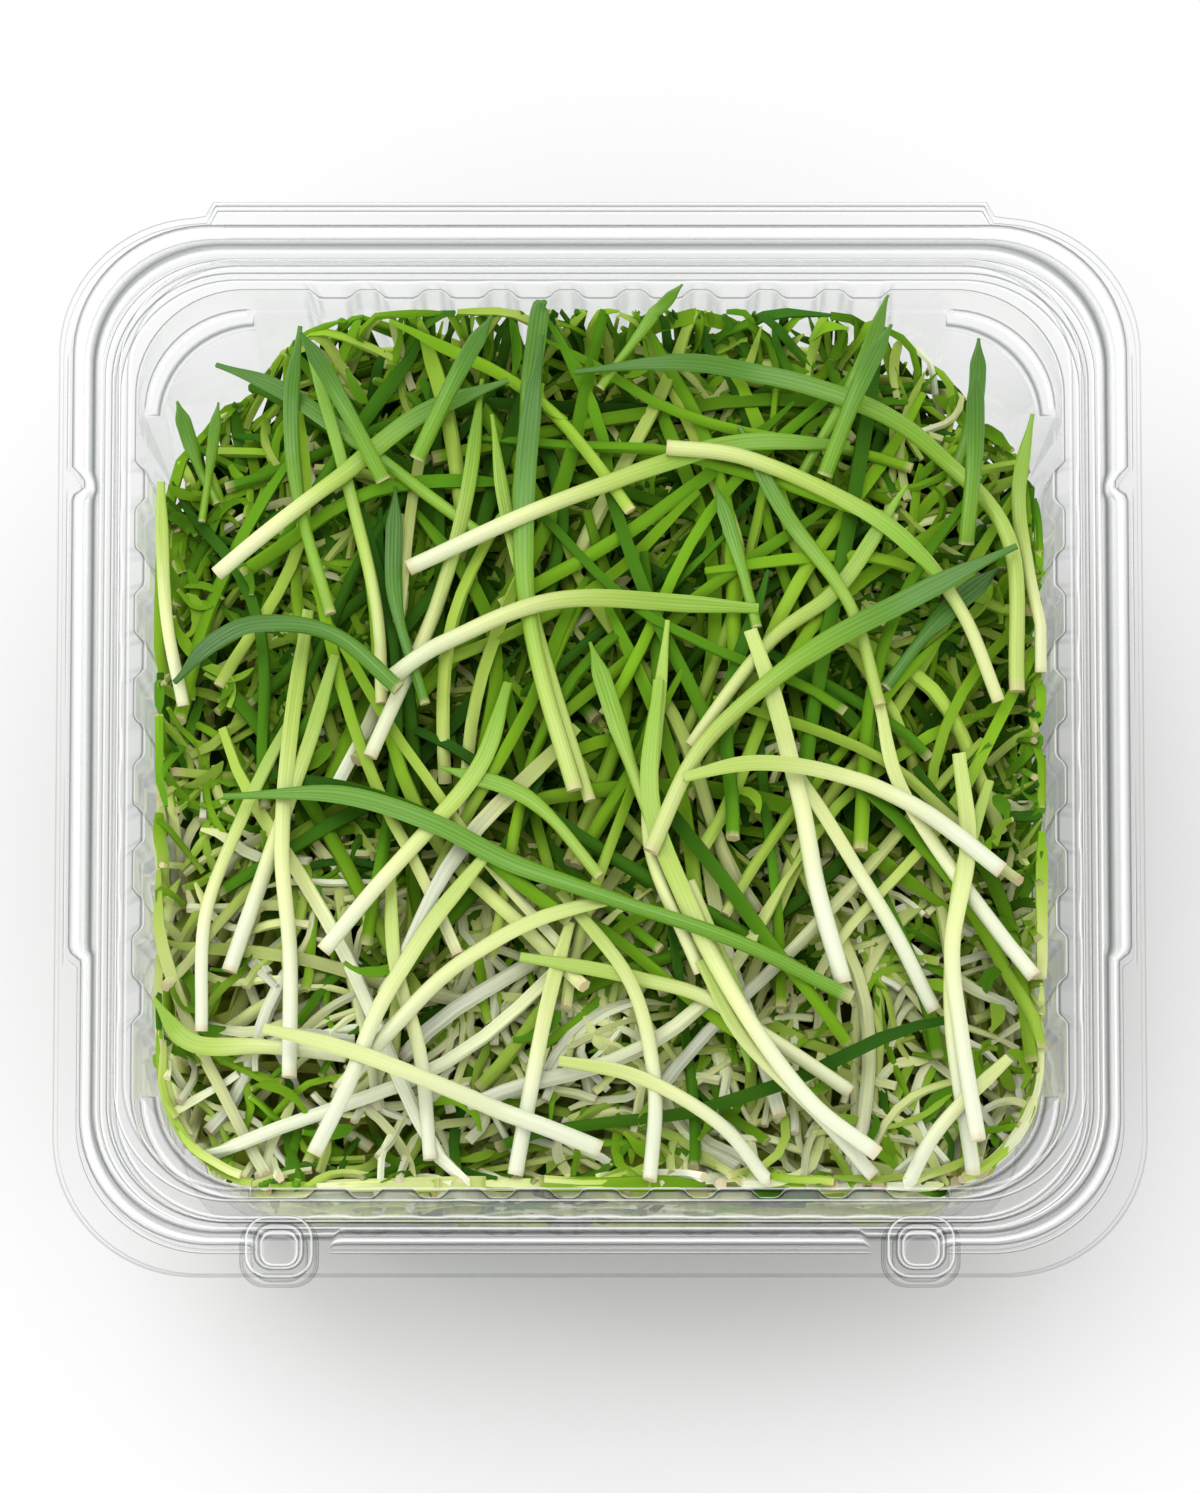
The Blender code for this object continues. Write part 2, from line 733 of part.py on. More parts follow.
def smooth_path(points, count):
    """count points evenly along a Catmull-Rom curve through points."""
    knots = [Vector(p) for p in points]
    knots = [2 * knots[0] - knots[1], *knots, 2 * knots[-1] - knots[-2]]
    fine = []
    pieces = 12
    for i in range(1, len(knots) - 2):
        a, b, c, d = knots[i - 1 : i + 3]
        for step in range(pieces):
            t = step / pieces
            fine.append(
                0.5 * (2 * b + (c - a) * t + (2 * a - 5 * b + 4 * c - d) * t**2
                       + (3 * b - a - 3 * c + d) * t**3)
            )
    fine.append(knots[-2])
    gone = [0.0]
    for p, q in zip(fine, fine[1:]):
        gone.append(gone[-1] + (q - p).length)
    spaced = []
    at = 0
    for i in range(count):
        want = gone[-1] * i / (count - 1)
        while at < len(gone) - 2 and gone[at + 1] < want:
            at += 1
        part = (want - gone[at]) / (gone[at + 1] - gone[at])
        spaced.append(fine[at].lerp(fine[at + 1], part))
    return spaced, gone[-1]


def surface_tree(mesh):
    """A mesh in metres as a tree in millimetres that rays can be cast at."""
    bm = bmesh.new()
    bm.from_mesh(mesh)
    bmesh.ops.scale(bm, vec=(1 / MM, 1 / MM, 1 / MM), verts=bm.verts)
    tree = BVHTree.FromBMesh(bm)
    bm.free()
    return tree


def top_below(trees, x, y):
    """Height of the highest surface at a plan point."""
    best = SHEET + FLOOR_RAISE
    for tree in trees:
        hit = tree.ray_cast(Vector((x, y, 90.0)), Vector((0, 0, -1)))[0]
        if hit is not None:
            best = max(best, hit.z)
    return best


def laid_centreline(route, trees):
    """The line of a stem laid on what is under it: it rests on the high spots and hangs in a
    shallow arc between them."""
    samples = 61
    path, length = smooth_path(route, samples)
    step = length / (samples - 1)
    held = []
    for point in path:
        x, y = keep_inside(point.x, point.y, 40.0, BLADE_WIDTH / 2)
        held.append(Vector((x, y, point.z)))
    widths, thicks = stem_sizes(samples)
    needed = []
    for i, point in enumerate(held):
        along = held[min(i + 1, samples - 1)] - held[max(i - 1, 0)]
        across = Vector((-along.y, along.x, 0)).normalized()
        reach = widths[i] / 2 + LAY_CLEAR
        tops = []
        for share in (-1.0, -0.6, -0.2, 0.2, 0.6, 1.0):
            spot = point + across * (reach * share)
            tops.append(top_below(trees, spot.x, spot.y))
        needed.append(max(tops) + thicks[i] / 2 + LAY_CLEAR)
    draped = []
    for i in range(samples):
        draped.append(
            max(needed[j] - LAY_SAG * ((i - j) * step) ** 2 for j in range(samples))
        )
    for _ in range(3):
        draped = [
            (draped[max(i - 1, 0)] + 2 * draped[i] + draped[min(i + 1, samples - 1)]) / 4
            for i in range(samples)
        ]
    lack = max(0.0, max(n - d for n, d in zip(needed, draped)))
    line = [Vector((p.x, p.y, d + lack + p.z)) for p, d in zip(held, draped)]
    pick = [round(i * (samples - 1) / (LAID_POINTS - 1)) for i in range(LAID_POINTS)]
    return [line[i] for i in pick]


def make_laid_stems(home, beds):
    trees = [surface_tree(bed.data) for bed in beds]
    laid = []
    for number, (colour, route) in enumerate(LAID_STEMS, start=1):
        word = "leaf" if colour == "green" else "stem"
        obj = stem_object(f"{word}_{number:02d}", laid_centreline(route, trees), home)
        trees.append(surface_tree(obj.data))
        laid.append((obj, "leaf_green" if colour == "green" else "pale_stem"))
    return laid


# Putting it together


def set_down(obj, parent, origin):
    """Moves an object's origin to a point in millimetres and hangs it on parent."""
    spot = Vector(origin) * MM
    obj.data.transform(Matrix.Translation(-spot))
    obj.parent = parent
    obj.location = spot - (parent.location if parent.parent else Vector())


def finish(obj, mat):
    obj.data.materials.clear()
    obj.data.materials.append(mat)
    obj.data.shade_smooth()
    obj.data.set_sharp_from_angle(angle=math.radians(35))


def main():
    clear_scene()
    home = collection("leek_microgreens_tray")
    mats = {name: material(name) for name in COLOURS}
    front = FLANGE_DEPTH / 2 - SNAP_INSET + 4.0 + SNAP_WALL / 2
    back = FLANGE_DEPTH / 2 + HINGE_REACH - HINGE_GAP + SHEET / 2
    frame = bpy.data.objects.new("tray_frame", None)
    home.objects.link(frame)
    frame.location = (0, (front - back) / 2 * MM, 0)
    hinge = bpy.data.objects.new("lid_hinge", None)
    home.objects.link(hinge)
    hinge.parent = frame
    axis = (0, FLANGE_DEPTH / 2 + HINGE_REACH, RIM_HEIGHT + LID_LIFT / 2)
    hinge.location = Vector(axis) * MM

    tray = make_tray(home)
    lid = make_lid(home)
    beds = make_bed(home)
    laid = make_laid_stems(home, beds)

    finish(tray, mats["clear_plastic"])
    finish(lid, mats["clear_plastic"])
    finish(beds[0], mats["pale_stem"])
    finish(beds[1], mats["leaf_green"])
    tray.parent = frame
    for bed in beds:
        bed.parent = frame
    for obj, colour in laid:
        finish(obj, mats[colour])
        obj.parent = frame
    lid.data.transform(Matrix.Translation(-Vector(axis) * MM))
    for modifier in lid.modifiers:
        if modifier.type == "BOOLEAN":
            for helper_object in modifier.collection.objects:
                helper_object.data.transform(Matrix.Translation(-Vector(axis) * MM))
                helper_object.parent = hinge
    lid.parent = hinge
    for modifier in tray.modifiers:
        if modifier.type == "BOOLEAN":
            for helper_object in modifier.collection.objects:
                helper_object.parent = frame


main()
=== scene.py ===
import math
import random
from types import SimpleNamespace

import bmesh
import bpy
import numpy as np
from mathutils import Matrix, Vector


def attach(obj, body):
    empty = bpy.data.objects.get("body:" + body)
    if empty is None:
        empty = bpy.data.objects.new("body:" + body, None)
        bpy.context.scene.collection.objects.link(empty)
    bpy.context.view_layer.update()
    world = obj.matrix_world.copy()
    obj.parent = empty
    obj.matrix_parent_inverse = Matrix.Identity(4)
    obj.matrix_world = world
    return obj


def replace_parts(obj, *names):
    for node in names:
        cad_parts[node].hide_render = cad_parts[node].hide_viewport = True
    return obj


# Hinged clear tray of cut leek microgreens. Lengths are millimetres until a mesh is made; plan
# places are measured from the middle of the flange, which lies planShift off the frame's origin.

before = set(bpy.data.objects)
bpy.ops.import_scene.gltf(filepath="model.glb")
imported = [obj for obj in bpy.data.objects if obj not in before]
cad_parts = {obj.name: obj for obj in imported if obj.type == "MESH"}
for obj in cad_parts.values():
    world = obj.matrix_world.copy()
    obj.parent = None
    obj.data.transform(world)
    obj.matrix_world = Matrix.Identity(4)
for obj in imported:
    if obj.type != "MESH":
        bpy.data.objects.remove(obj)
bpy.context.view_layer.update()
print("frame loaded:", len(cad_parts), "nodes")

mm = 0.001
planShift = -0.35
scene = bpy.context.scene
scene.view_settings.view_transform = "Standard"
scene.cycles.max_bounces = 4
scene.cycles.diffuse_bounces = 1
scene.cycles.glossy_bounces = 2
scene.cycles.use_light_tree = False


# Shader maths

class Sock:
    def __init__(self, tree, link):
        self.tree, self.link = tree, link

    def math(self, operation, other=None, turned=False):
        node = self.tree.nodes.new("ShaderNodeMath")
        node.operation = operation
        values = [self, other] if not turned else [other, self]
        for place, value in enumerate(values):
            if isinstance(value, Sock):
                self.tree.links.new(value.link, node.inputs[place])
            elif value is not None:
                node.inputs[place].default_value = value
        return Sock(self.tree, node.outputs[0])

    def __add__(self, other):
        return self.math("ADD", other)

    __radd__ = __add__

    def __sub__(self, other):
        return self.math("SUBTRACT", other)

    def __rsub__(self, other):
        return self.math("SUBTRACT", other, turned=True)

    def __mul__(self, other):
        return self.math("MULTIPLY", other)

    __rmul__ = __mul__

    def __truediv__(self, other):
        return self.math("DIVIDE", other)

    def __pow__(self, other):
        return self.math("POWER", other)


class Shader:
    def __init__(self, name):
        self.material = bpy.data.materials.new(name)
        self.material.use_nodes = True
        self.tree = self.material.node_tree
        self.tree.nodes.clear()
        self.end = self.tree.nodes.new("ShaderNodeOutputMaterial")

    # any node: its type, its own settings, then the values or links of its sockets
    def node(self, kind, settings=None, output=0, **sockets):
        made = self.tree.nodes.new("ShaderNode" + kind)
        for key, value in (settings or {}).items():
            if key == "stops":
                ramp = made.color_ramp
                while len(ramp.elements) < len(value):
                    ramp.elements.new(0.5)
                for element, (place, colour) in zip(ramp.elements, value):
                    element.position, element.color = place, (*colour, 1.0)
            else:
                setattr(made, key, value)
        for key, value in sockets.items():
            key = int(key[1:]) if key[0] == "i" and key[1:].isdigit() else key.replace("_", " ")
            if isinstance(value, Sock):
                self.tree.links.new(value.link, made.inputs[key])
            else:
                made.inputs[key].default_value = value
        return Sock(self.tree, made.outputs[output])

    def mixColour(self, factor, first, second, blend="MIX"):
        return self.node("MixRGB", {"blend_type": blend}, Fac=factor, Color1=first, Color2=second)

    def finish(self, surface):
        self.tree.links.new(surface.link, self.end.inputs["Surface"])
        return self.material


sheetLook = {
    "clear": (0.988, 0.990, 0.989),
    "edge": (0.30, 0.32, 0.32),
    "edgeStrength": 0.34,
    "edgePower": 4.0,
    # painted shade and painted highlights: dark lines and white lines drawn along the sheet's folds
    "paintedFoldShade": 0.95,
    "paintedFoldHighlight": 0.75,
    "roughness": 0.05,
    "mirror": 0.6,
    "mirrorPower": 4.0,
}


def makeSheetMaterial(name, look):
    shader = Shader(name)
    facing = shader.node("LayerWeight", output=1, Blend=0.5)
    # the fold attribute paints the lines: above 0 a painted dark line, below 0 a painted white highlight
    crease = shader.node("Attribute", {"attribute_name": "crease"}, output=2)
    dark, bright = crease.math("MAXIMUM", 0.0), (crease * -1.0).math("MAXIMUM", 0.0)
    mirror = facing ** look["mirrorPower"] * look["mirror"]
    clear = shader.node("BsdfTransparent", Color=(*look["clear"], 1))
    edge = shader.node("BsdfTransparent", Color=(*look["edge"], 1))
    gloss = shader.node("BsdfGlossy", Color=(1, 1, 1, 1), Roughness=look["roughness"])
    dim = facing ** look["edgePower"] * look["edgeStrength"] + dark * look["paintedFoldShade"]
    body = shader.node("MixShader", i0=dim, i1=clear, i2=edge)
    body = shader.node("MixShader", i0=mirror, i1=body, i2=gloss)
    shine = shader.node("BsdfDiffuse", Color=(1, 1, 1, 1))
    return shader.finish(shader.node("MixShader", i0=bright * look["paintedFoldHighlight"], i1=body, i2=shine))


greenLook = {
    "ramp": (
        (0.0, (0.75, 0.79, 0.59)),
        (0.16, (0.70, 0.75, 0.33)),
        (0.34, (0.42, 0.56, 0.10)),
        (0.54, (0.21, 0.41, 0.018)),
        (0.78, (0.085, 0.24, 0.012)),
        (1.0, (0.035, 0.12, 0.012)),
    ),
    "cut": (0.62, 0.50, 0.29),
    "cutShare": 0.7,
    "cutLength": 0.022,
    "streakScale": (14.0, 2.2, 1.0),
    "streakTone": 0.2,
    "streakLight": 0.5,
    "streakGloss": 0.12,
    "roughness": 0.28,
    "vein": 0.28,
    "veins": 14.0,
    "veinTone": 0.032,
    "veinHeight": 0.0003,
    # painted shade: the colours that green and pale stems are darkened towards deep in the heap
    "deepPaintedShade": (0.055, 0.11, 0.006),
    "palePaintedShade": (0.66, 0.70, 0.20),
    "specular": 0.5,
    "detail": 2.0,
}
tangleLook = {**greenLook, "vein": 0.0, "detail": 0.0, "specular": 0.0, "roughness": 0.36}


def makeGreenMaterial(name, look):
    shader = Shader(name)
    tone = shader.node("Attribute", {"attribute_name": "tone"}, output=2)
    shade = shader.node("Attribute", {"attribute_name": "shade"}, output=2)
    place = shader.node("UVMap", {"uv_map": "along"})
    stretched = shader.node("Mapping", Vector=place, Scale=look["streakScale"])
    streak = shader.node("TexNoise", Vector=stretched, Scale=1.0, Detail=look["detail"])
    shift = (streak - 0.5) * look["streakTone"]
    if look["vein"]:
        around = shader.node("SeparateXYZ", output=0, Vector=place)
        veins = (around * (2 * math.pi * look["veins"]) + streak * 1.2).math("SINE")
        shift = shift - veins * look["veinTone"] * tone
        streak = streak * 0.5 + veins * tone * 0.16 + 0.25
    colour = shader.node("ValToRGB", {"stops": look["ramp"]}, Fac=tone + shift)
    endwise = shader.node("SeparateXYZ", output=1, Vector=place)
    cut = shader.node(
        "MapRange", Value=endwise, From_Min=0.0, From_Max=look["cutLength"],
        To_Min=look["cutShare"], To_Max=0.0,
    )
    tipped = shader.mixColour(cut, colour, (*look["cut"], 1))
    # painted shade: depth darkens stems that lie deep in the heap towards the painted shade colour
    depth = shader.node("Attribute", {"attribute_name": "depth"}, output=2)
    paintedShadeColour = shader.mixColour(tone * 1.5, (*look["palePaintedShade"], 1), (*look["deepPaintedShade"], 1))
    sunk = shader.mixColour(depth, tipped, shader.mixColour(1.0, tipped, paintedShadeColour, "MULTIPLY"))
    light = shader.node("HueSaturation", Value=shade + (streak - 0.5) * look["streakLight"], Color=sunk)
    extras = {}
    if look["vein"]:
        bump = {"Height": streak, "Strength": look["vein"], "Distance": look["veinHeight"]}
        extras["Normal"] = shader.node("Bump", **bump)
    surface = shader.node(
        "BsdfPrincipled", Base_Color=light, Roughness=look["roughness"] + streak * look["streakGloss"],
        Specular_IOR_Level=look["specular"], **extras,
    )
    return shader.finish(surface)


def makePlainMaterial(name, colour):
    shader = Shader(name)
    return shader.finish(shader.node("BsdfDiffuse", Color=(*colour, 1)))


clearSheet = makeSheetMaterial("clearSheet", sheetLook)
livingGreen = makeGreenMaterial("livingGreen", greenLook)
tangledGreen = makeGreenMaterial("tangledGreen", tangleLook)
print("materials made")


# The formed sheet

sheetSpec = {
    "width": 130.0, "depth": 131.0, "cornerRadius": 17.0, "radiusFall": 0.42,
    "rimHeight": 46.0, "lidLift": 0.8, "domeHeight": 8.2, "lidBead": 2.8, "baseBead": 1.9,
    "gripFront": -28.6, "gripBack": 31.0, "neck": 1.2, "widening": 1.5,
    "hingeReach": 2.2, "hingeHalf": 46.6, "hingeSlope": 1.2, "hingeRidge": 0.7, "hingeGap": 0.3,
    "openingShift": 0.8, "shelfInset": 9.4, "ribDepth": 1.2, "ribTop": 3.2, "ribSlope": 1.5,
    "frontRibs": 9, "frontPitch": 8.0, "sideRibs": 7, "sidePitch": 10.6,
    "cornerLedge": 2.0, "ledgeHeight": 39.0, "footInset": 14.4, "footRadius": 3.0,
    "footWidth": 5.0, "floorRaise": 0.8, "snapX": 38.0, "snapInset": 2.9, "snapHalf": 4.2,
    "snapGap": 0.1, "snapSlope": 1.2,
}
# how finely each skin is made: fold radius, cuts in a fold, places along a side and round a corner
traySkin = {"radius": 0.36, "cuts": 4, "perSide": 150, "perCorner": 14}
lidSkin = {"radius": 0.34, "cuts": 4, "perSide": 110, "perCorner": 16}
# the painted fold lines of these steps are weakened to quietShare
quietFolds, quietShare = range(3, 7), 0.4  # the tray's seal bead, which lies under the lid
fullFold = 0.3  # one minus the cosine of the turn from which a fold shows in full
sheet = SimpleNamespace(**sheetSpec)
sides = ("front", "right", "back", "left")
corners = ((1, -1, -90), (1, 1, 0), (-1, 1, 90), (-1, -1, 180))


def smooth(value, low, high):
    t = min(1.0, max(0.0, (value - low) / (high - low)))
    return t * t * (3 - 2 * t)


def straightHalf(side, inset):
    whole = sheet.width if side in ("front", "back") else sheet.depth
    return whole / 2 - inset - (sheet.cornerRadius - sheet.radiusFall * inset)


def sidePoint(side, along, inset, shift):
    if side in ("front", "back"):
        half = sheet.depth / 2 - inset
        return along, (half if side == "back" else -half) + shift
    half = sheet.width / 2 - inset
    return (half if side == "right" else -half), along + shift


def wideShare(side, along):
    if side == "back":
        return 1.0
    if side == "front":
        return 0.0
    front, back, neck = sheet.gripFront, sheet.gripBack, sheet.neck
    grip = smooth(along, front, front + neck) - smooth(along, back, back + neck)
    return grip + smooth(along, back + 2 * neck, back + 3 * neck)


def hingeShare(side, along):
    if side != "back":
        return 0.0
    return 1.0 - smooth(abs(along), sheet.hingeHalf, sheet.hingeHalf + sheet.hingeSlope)


def snapShare(side, along):
    if side != "front":
        return 0.0
    clear = sheet.snapHalf + sheet.snapGap
    return 1.0 - smooth(abs(abs(along) - sheet.snapX), clear, clear + sheet.snapSlope)


def ribShare(side, along):
    count, pitch = sheet.sideRibs, sheet.sidePitch
    if side in ("front", "back"):
        count, pitch = sheet.frontRibs, sheet.frontPitch
    if abs(along) > count * pitch / 2:
        return 0.0
    offset = abs((along / pitch + (count - 1) / 2 + 0.5) % 1.0 - 0.5) * pitch
    return 1.0 - smooth(offset, sheet.ribTop / 2, sheet.ribTop / 2 + sheet.ribSlope)


# painted dark lines at the upright folds at both sides of each rib
ribShadeSpec = {"reach": 0.35, "strength": 1.6, "most": 0.35}


def ribShadeLine(side, along):
    reach = ribShadeSpec["reach"]
    bend = ribShare(side, along - reach) + ribShare(side, along + reach) - 2 * ribShare(side, along)
    return min(ribShadeSpec["most"], ribShadeSpec["strength"] * abs(bend))


# a profile step: inset and height, then how much each feature along the rim moves it; the last
# value is the painted fold light, which soften fills in
def step(inset, height, widen=0.0, reach=0.0, lift=0.0, bead=0.0, rib=0.0, ledge=0.0, shift=0.0):
    return np.array([inset, height, widen, reach, lift, bead, rib, ledge, shift, 0.0])


# softens a profile's corners, as forming over a mould does. A fold gets a painted dark line (1)
# with a painted highlight line (-1) beside it, and the rim, which is the first fold, two painted dark lines.
foldPaintedLight, rimPaintedLight = {1: 1.0, 3: -1.0}, {1: 1.0, 3: 0.6}


def soften(steps, radius, cuts):
    made = [steps[0]]
    for number, (before, here, after) in enumerate(zip(steps, steps[1:], steps[2:])):
        back, on = before - here, after - here
        lengthBack = math.hypot(back[0] + back[2], back[1] + back[5])
        lengthOn = math.hypot(on[0] + on[2], on[1] + on[5])
        start = here + back * min(0.48, radius / max(lengthBack, 0.01))
        end = here + on * min(0.48, radius / max(lengthOn, 0.01))
        for cut in range(cuts + 1):
            t = cut / cuts
            made.append(start * (1 - t) ** 2 + here * 2 * t * (1 - t) + end * t**2)
            made[-1][-1] = (foldPaintedLight if number else rimPaintedLight).get(cut, 0.0)
    made.append(steps[-1])
    return made


def ringPlaces(values, perSide, perCorner, folded=None):
    inset, height, widen, reach, lift, bead, rib, ledge, shift, crease = values
    places = []
    for side, (signX, signY, startAngle) in zip(sides, corners):
        turn = 1 if side in ("front", "right") else -1
        for number in range(perSide):
            share = turn * (2 * (number + 0.5) / perSide - 1)
            along, mark = share * straightHalf(side, inset), share * straightHalf(side, 0.0)
            wide, hinge = wideShare(side, mark), hingeShare(side, mark)
            out = inset - widen * wide - reach * hinge + rib * ribShare(side, along)
            x, y = sidePoint(side, along, out, shift)
            own = crease if folded is None else crease * folded[len(places)]
            fold = own + (rib > 0.5) * (crease >= 0) * ribShadeLine(side, along)
            places.append((x, y, height + lift * hinge + bead * (1 - snapShare(side, mark)), min(1.0, fold)))
        out = inset - widen * (signY > 0) + ledge
        radius = sheet.cornerRadius - sheet.radiusFall * out
        centreX = signX * (sheet.width / 2 - out - radius)
        centreY = signY * (sheet.depth / 2 - out - radius) + shift
        for number in range(perCorner):
            angle = math.radians(startAngle + 90 * (number + 0.5) / perCorner)
            x, y = centreX + radius * math.cos(angle), centreY + radius * math.sin(angle)
            own = crease if folded is None else crease * folded[len(places)]
            places.append((x, y, height + bead, own))
    return places


# how sharply the sheet turns at each step of a profile, all along the rim: 0 flat, 1 a full fold;
# it scales the painted fold lines
def foldShares(steps, perSide, perCorner):
    rings = np.array([[place[:3] for place in ringPlaces(values, perSide, perCorner)] for values in steps])
    back, on = rings[1:-1] - rings[:-2], rings[2:] - rings[1:-1]
    spans = np.linalg.norm(back, axis=2) * np.linalg.norm(on, axis=2) + 1e-6
    turn = 1 - (back * on).sum(axis=2) / spans
    return np.clip(turn / fullFold, 0.0, 1.0)


def inPlace(place):
    return Vector((place[0] * mm, (place[1] + planShift) * mm, place[2] * mm))


def toObject(name, bm, material, body):
    mesh = bpy.data.meshes.new(name)
    bm.to_mesh(mesh)
    bm.free()
    piece = bpy.data.objects.new(name, mesh)
    scene.collection.objects.link(piece)
    mesh.materials.append(material)
    mesh.shade_smooth()
    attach(piece, body)
    return piece


# grows a skin from ring to ring; each vertex keeps its number along the ring and its painted fold
# light, and the sheet's edge gets a painted dark line
def growSkin(bm, rings):
    station = bm.verts.layers.int.get("station") or bm.verts.layers.int.new("station")
    crease = bm.verts.layers.float.get("crease") or bm.verts.layers.float.new("crease")
    verts = [bm.verts.new(inPlace(place)) for place in rings[0]]
    for number, vert in enumerate(verts):
        vert[station], vert[crease] = number, 1.0
    edges = [bm.edges.new((a, b)) for a, b in zip(verts, verts[1:] + verts[:1])]
    for ring in rings[1:]:
        grown = bmesh.ops.extrude_edge_only(bm, edges=edges)["geom"]
        for vert in [g for g in grown if isinstance(g, bmesh.types.BMVert)]:
            place = ring[vert[station]]
            vert.co, vert[crease] = inPlace(place), place[3]
        edges = [g for g in grown if isinstance(g, bmesh.types.BMEdge) and g.is_boundary]
    bmesh.ops.contextual_create(bm, geom=edges)


# the thin clear sheet lets the light through to the greens without loss
def makeClear(piece):
    piece.visible_shadow = False
    piece.visible_diffuse = False
    return piece


def makeShell(name, steps, skin, body, quiet=()):
    cuts, perSide, perCorner = skin["cuts"], skin["perSide"], skin["perCorner"]
    bm = bmesh.new()
    shares, rings = foldShares(steps, perSide, perCorner), []
    shares[list(quiet)] *= quietShare
    for number, values in enumerate(soften(steps, skin["radius"], cuts)):
        corner = (number - 1) // (cuts + 1)
        inner = number > 0 and corner < len(shares)
        rings.append(ringPlaces(values, perSide, perCorner, shares[corner] if inner else None))
    growSkin(bm, rings)
    bmesh.ops.recalc_face_normals(bm, faces=bm.faces)
    return makeClear(toObject(name, bm, clearSheet, body))


def makeTray():
    rim, edge, bead = sheet.rimHeight, 0.5, sheet.baseBead
    out = sheet.hingeReach + edge - sheet.hingeGap
    shelf, ledge, foot, flat = sheet.shelfInset, sheet.ledgeHeight, sheet.footInset, 0.2
    inner, raised = foot + sheet.footWidth, flat + sheet.floorRaise
    rib, shift = sheet.ribDepth, sheet.openingShift
    steps = [
        step(edge, rim - 0.5, reach=out, lift=0.5),
        step(edge, rim, reach=out),
        step(edge + 0.2, rim, reach=out),
        step(edge + 0.4, rim, reach=out),
        step(3.6, rim, widen=0.9),
        step(3.9, rim, bead=bead, widen=0.9),
        step(4.8, rim, bead=bead),
        step(5.0, rim),
        step(7.0, rim),
        step(7.4, rim - 1.2),
        step(shelf, rim - 1.2, rib=rib, shift=shift),
        step(shelf + 0.7, ledge, rib=rib, shift=shift),
        step(shelf + 0.9, ledge - 0.9, rib=rib, ledge=sheet.cornerLedge, shift=shift),
        step(foot, sheet.footRadius, rib=rib / 2, shift=shift),
        step(foot + 2.4, flat, shift=shift),
        step(inner, flat, shift=shift),
        step(inner + 0.9, raised, shift=shift),
        step(inner + 4.0, raised, shift=shift),
    ]
    tray = makeShell("trayShell", steps, traySkin, "base", quietFolds)
    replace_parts(tray, "tray")
    return tray


def makeLid():
    rim = sheet.rimHeight + sheet.lidLift
    bead, dome, out, ridge = sheet.lidBead, sheet.domeHeight, sheet.hingeReach, sheet.hingeRidge
    steps = [
        step(0.0, rim - 0.4, reach=out - sheet.hingeGap, lift=0.4),
        step(0.0, rim, reach=out - sheet.hingeGap),
        step(0.4, rim, reach=out - 0.1, lift=ridge),
        step(0.8, rim, reach=out - 0.4, lift=ridge),
        step(1.2, rim, reach=out - 0.4),
        step(2.9, rim, widen=sheet.widening),
        step(3.2, rim, bead=bead, widen=sheet.widening),
        step(5.3, rim, bead=bead),
        step(5.6, rim + 0.6),
        step(6.6, rim + 0.6),
        step(7.4, rim + dome - 0.9),
        step(8.6, rim + dome),
        step(16.0, rim + dome),
    ]
    lid = makeShell("lidShell", steps, lidSkin, "lid")
    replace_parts(lid, "lid")
    return lid


# the snap domes: half width, half depth and height of each level
snapSpec = {
    "lidLevels": (
        (4.7, 4.25, 0.1), (4.3, 4.0, 0.3), (4.1, 3.8, 3.3),
        (2.7, 2.6, 3.3), (2.3, 2.2, 2.3), (1.2, 1.1, 2.2),
    ),
    "baseLevels": ((3.4, 3.4, 0.0), (3.1, 3.1, 2.3), (2.4, 2.4, 2.3), (2.1, 2.1, 0.9), (1.0, 1.0, 0.9)),
    "cornerShare": 0.72,
    "perCorner": 8,
    "foldRadius": 0.55,
    "foldCuts": 4,
    # strengths of the painted fold lines on the lid's and the tray's snaps
    "lidPaintedFolds": 0.9,
    "basePaintedFolds": 0.25,
}


def squareRing(halfX, halfY, height, middleX, crease):
    middleY = -(sheet.depth / 2 - sheet.snapInset)
    corner = min(halfX, halfY) * snapSpec["cornerShare"]
    count, places = snapSpec["perCorner"], []
    for signX, signY, startAngle in corners:
        for number in range(count):
            angle = math.radians(startAngle + 90 * number / (count - 1))
            places.append((
                middleX + signX * (halfX - corner) + corner * math.cos(angle),
                middleY + signY * (halfY - corner) + corner * math.sin(angle), height, crease,
            ))
    return places


def makeSnaps(name, levels, base, paintedFoldStrength, body):
    bm = bmesh.new()
    for middleX in (-sheet.snapX, sheet.snapX):
        edges = [np.array([x, y, 0, 0, 0, z, 0, 0, 0, 0]) for x, y, z in levels]
        rounded = soften(edges, snapSpec["foldRadius"], snapSpec["foldCuts"])
        growSkin(bm, [squareRing(v[0], v[1], base + v[5], middleX, v[9] * paintedFoldStrength) for v in rounded])
    bmesh.ops.recalc_face_normals(bm, faces=bm.faces)
    return makeClear(toObject(name, bm, clearSheet, body))


makeTray()
makeLid()
makeSnaps("lidSnaps", snapSpec["lidLevels"], sheet.rimHeight + sheet.lidLift, snapSpec["lidPaintedFolds"], "lid")
makeSnaps("traySnaps", snapSpec["baseLevels"], sheet.rimHeight, snapSpec["basePaintedFolds"], "base")
print("sheet formed")


# The heap of greens

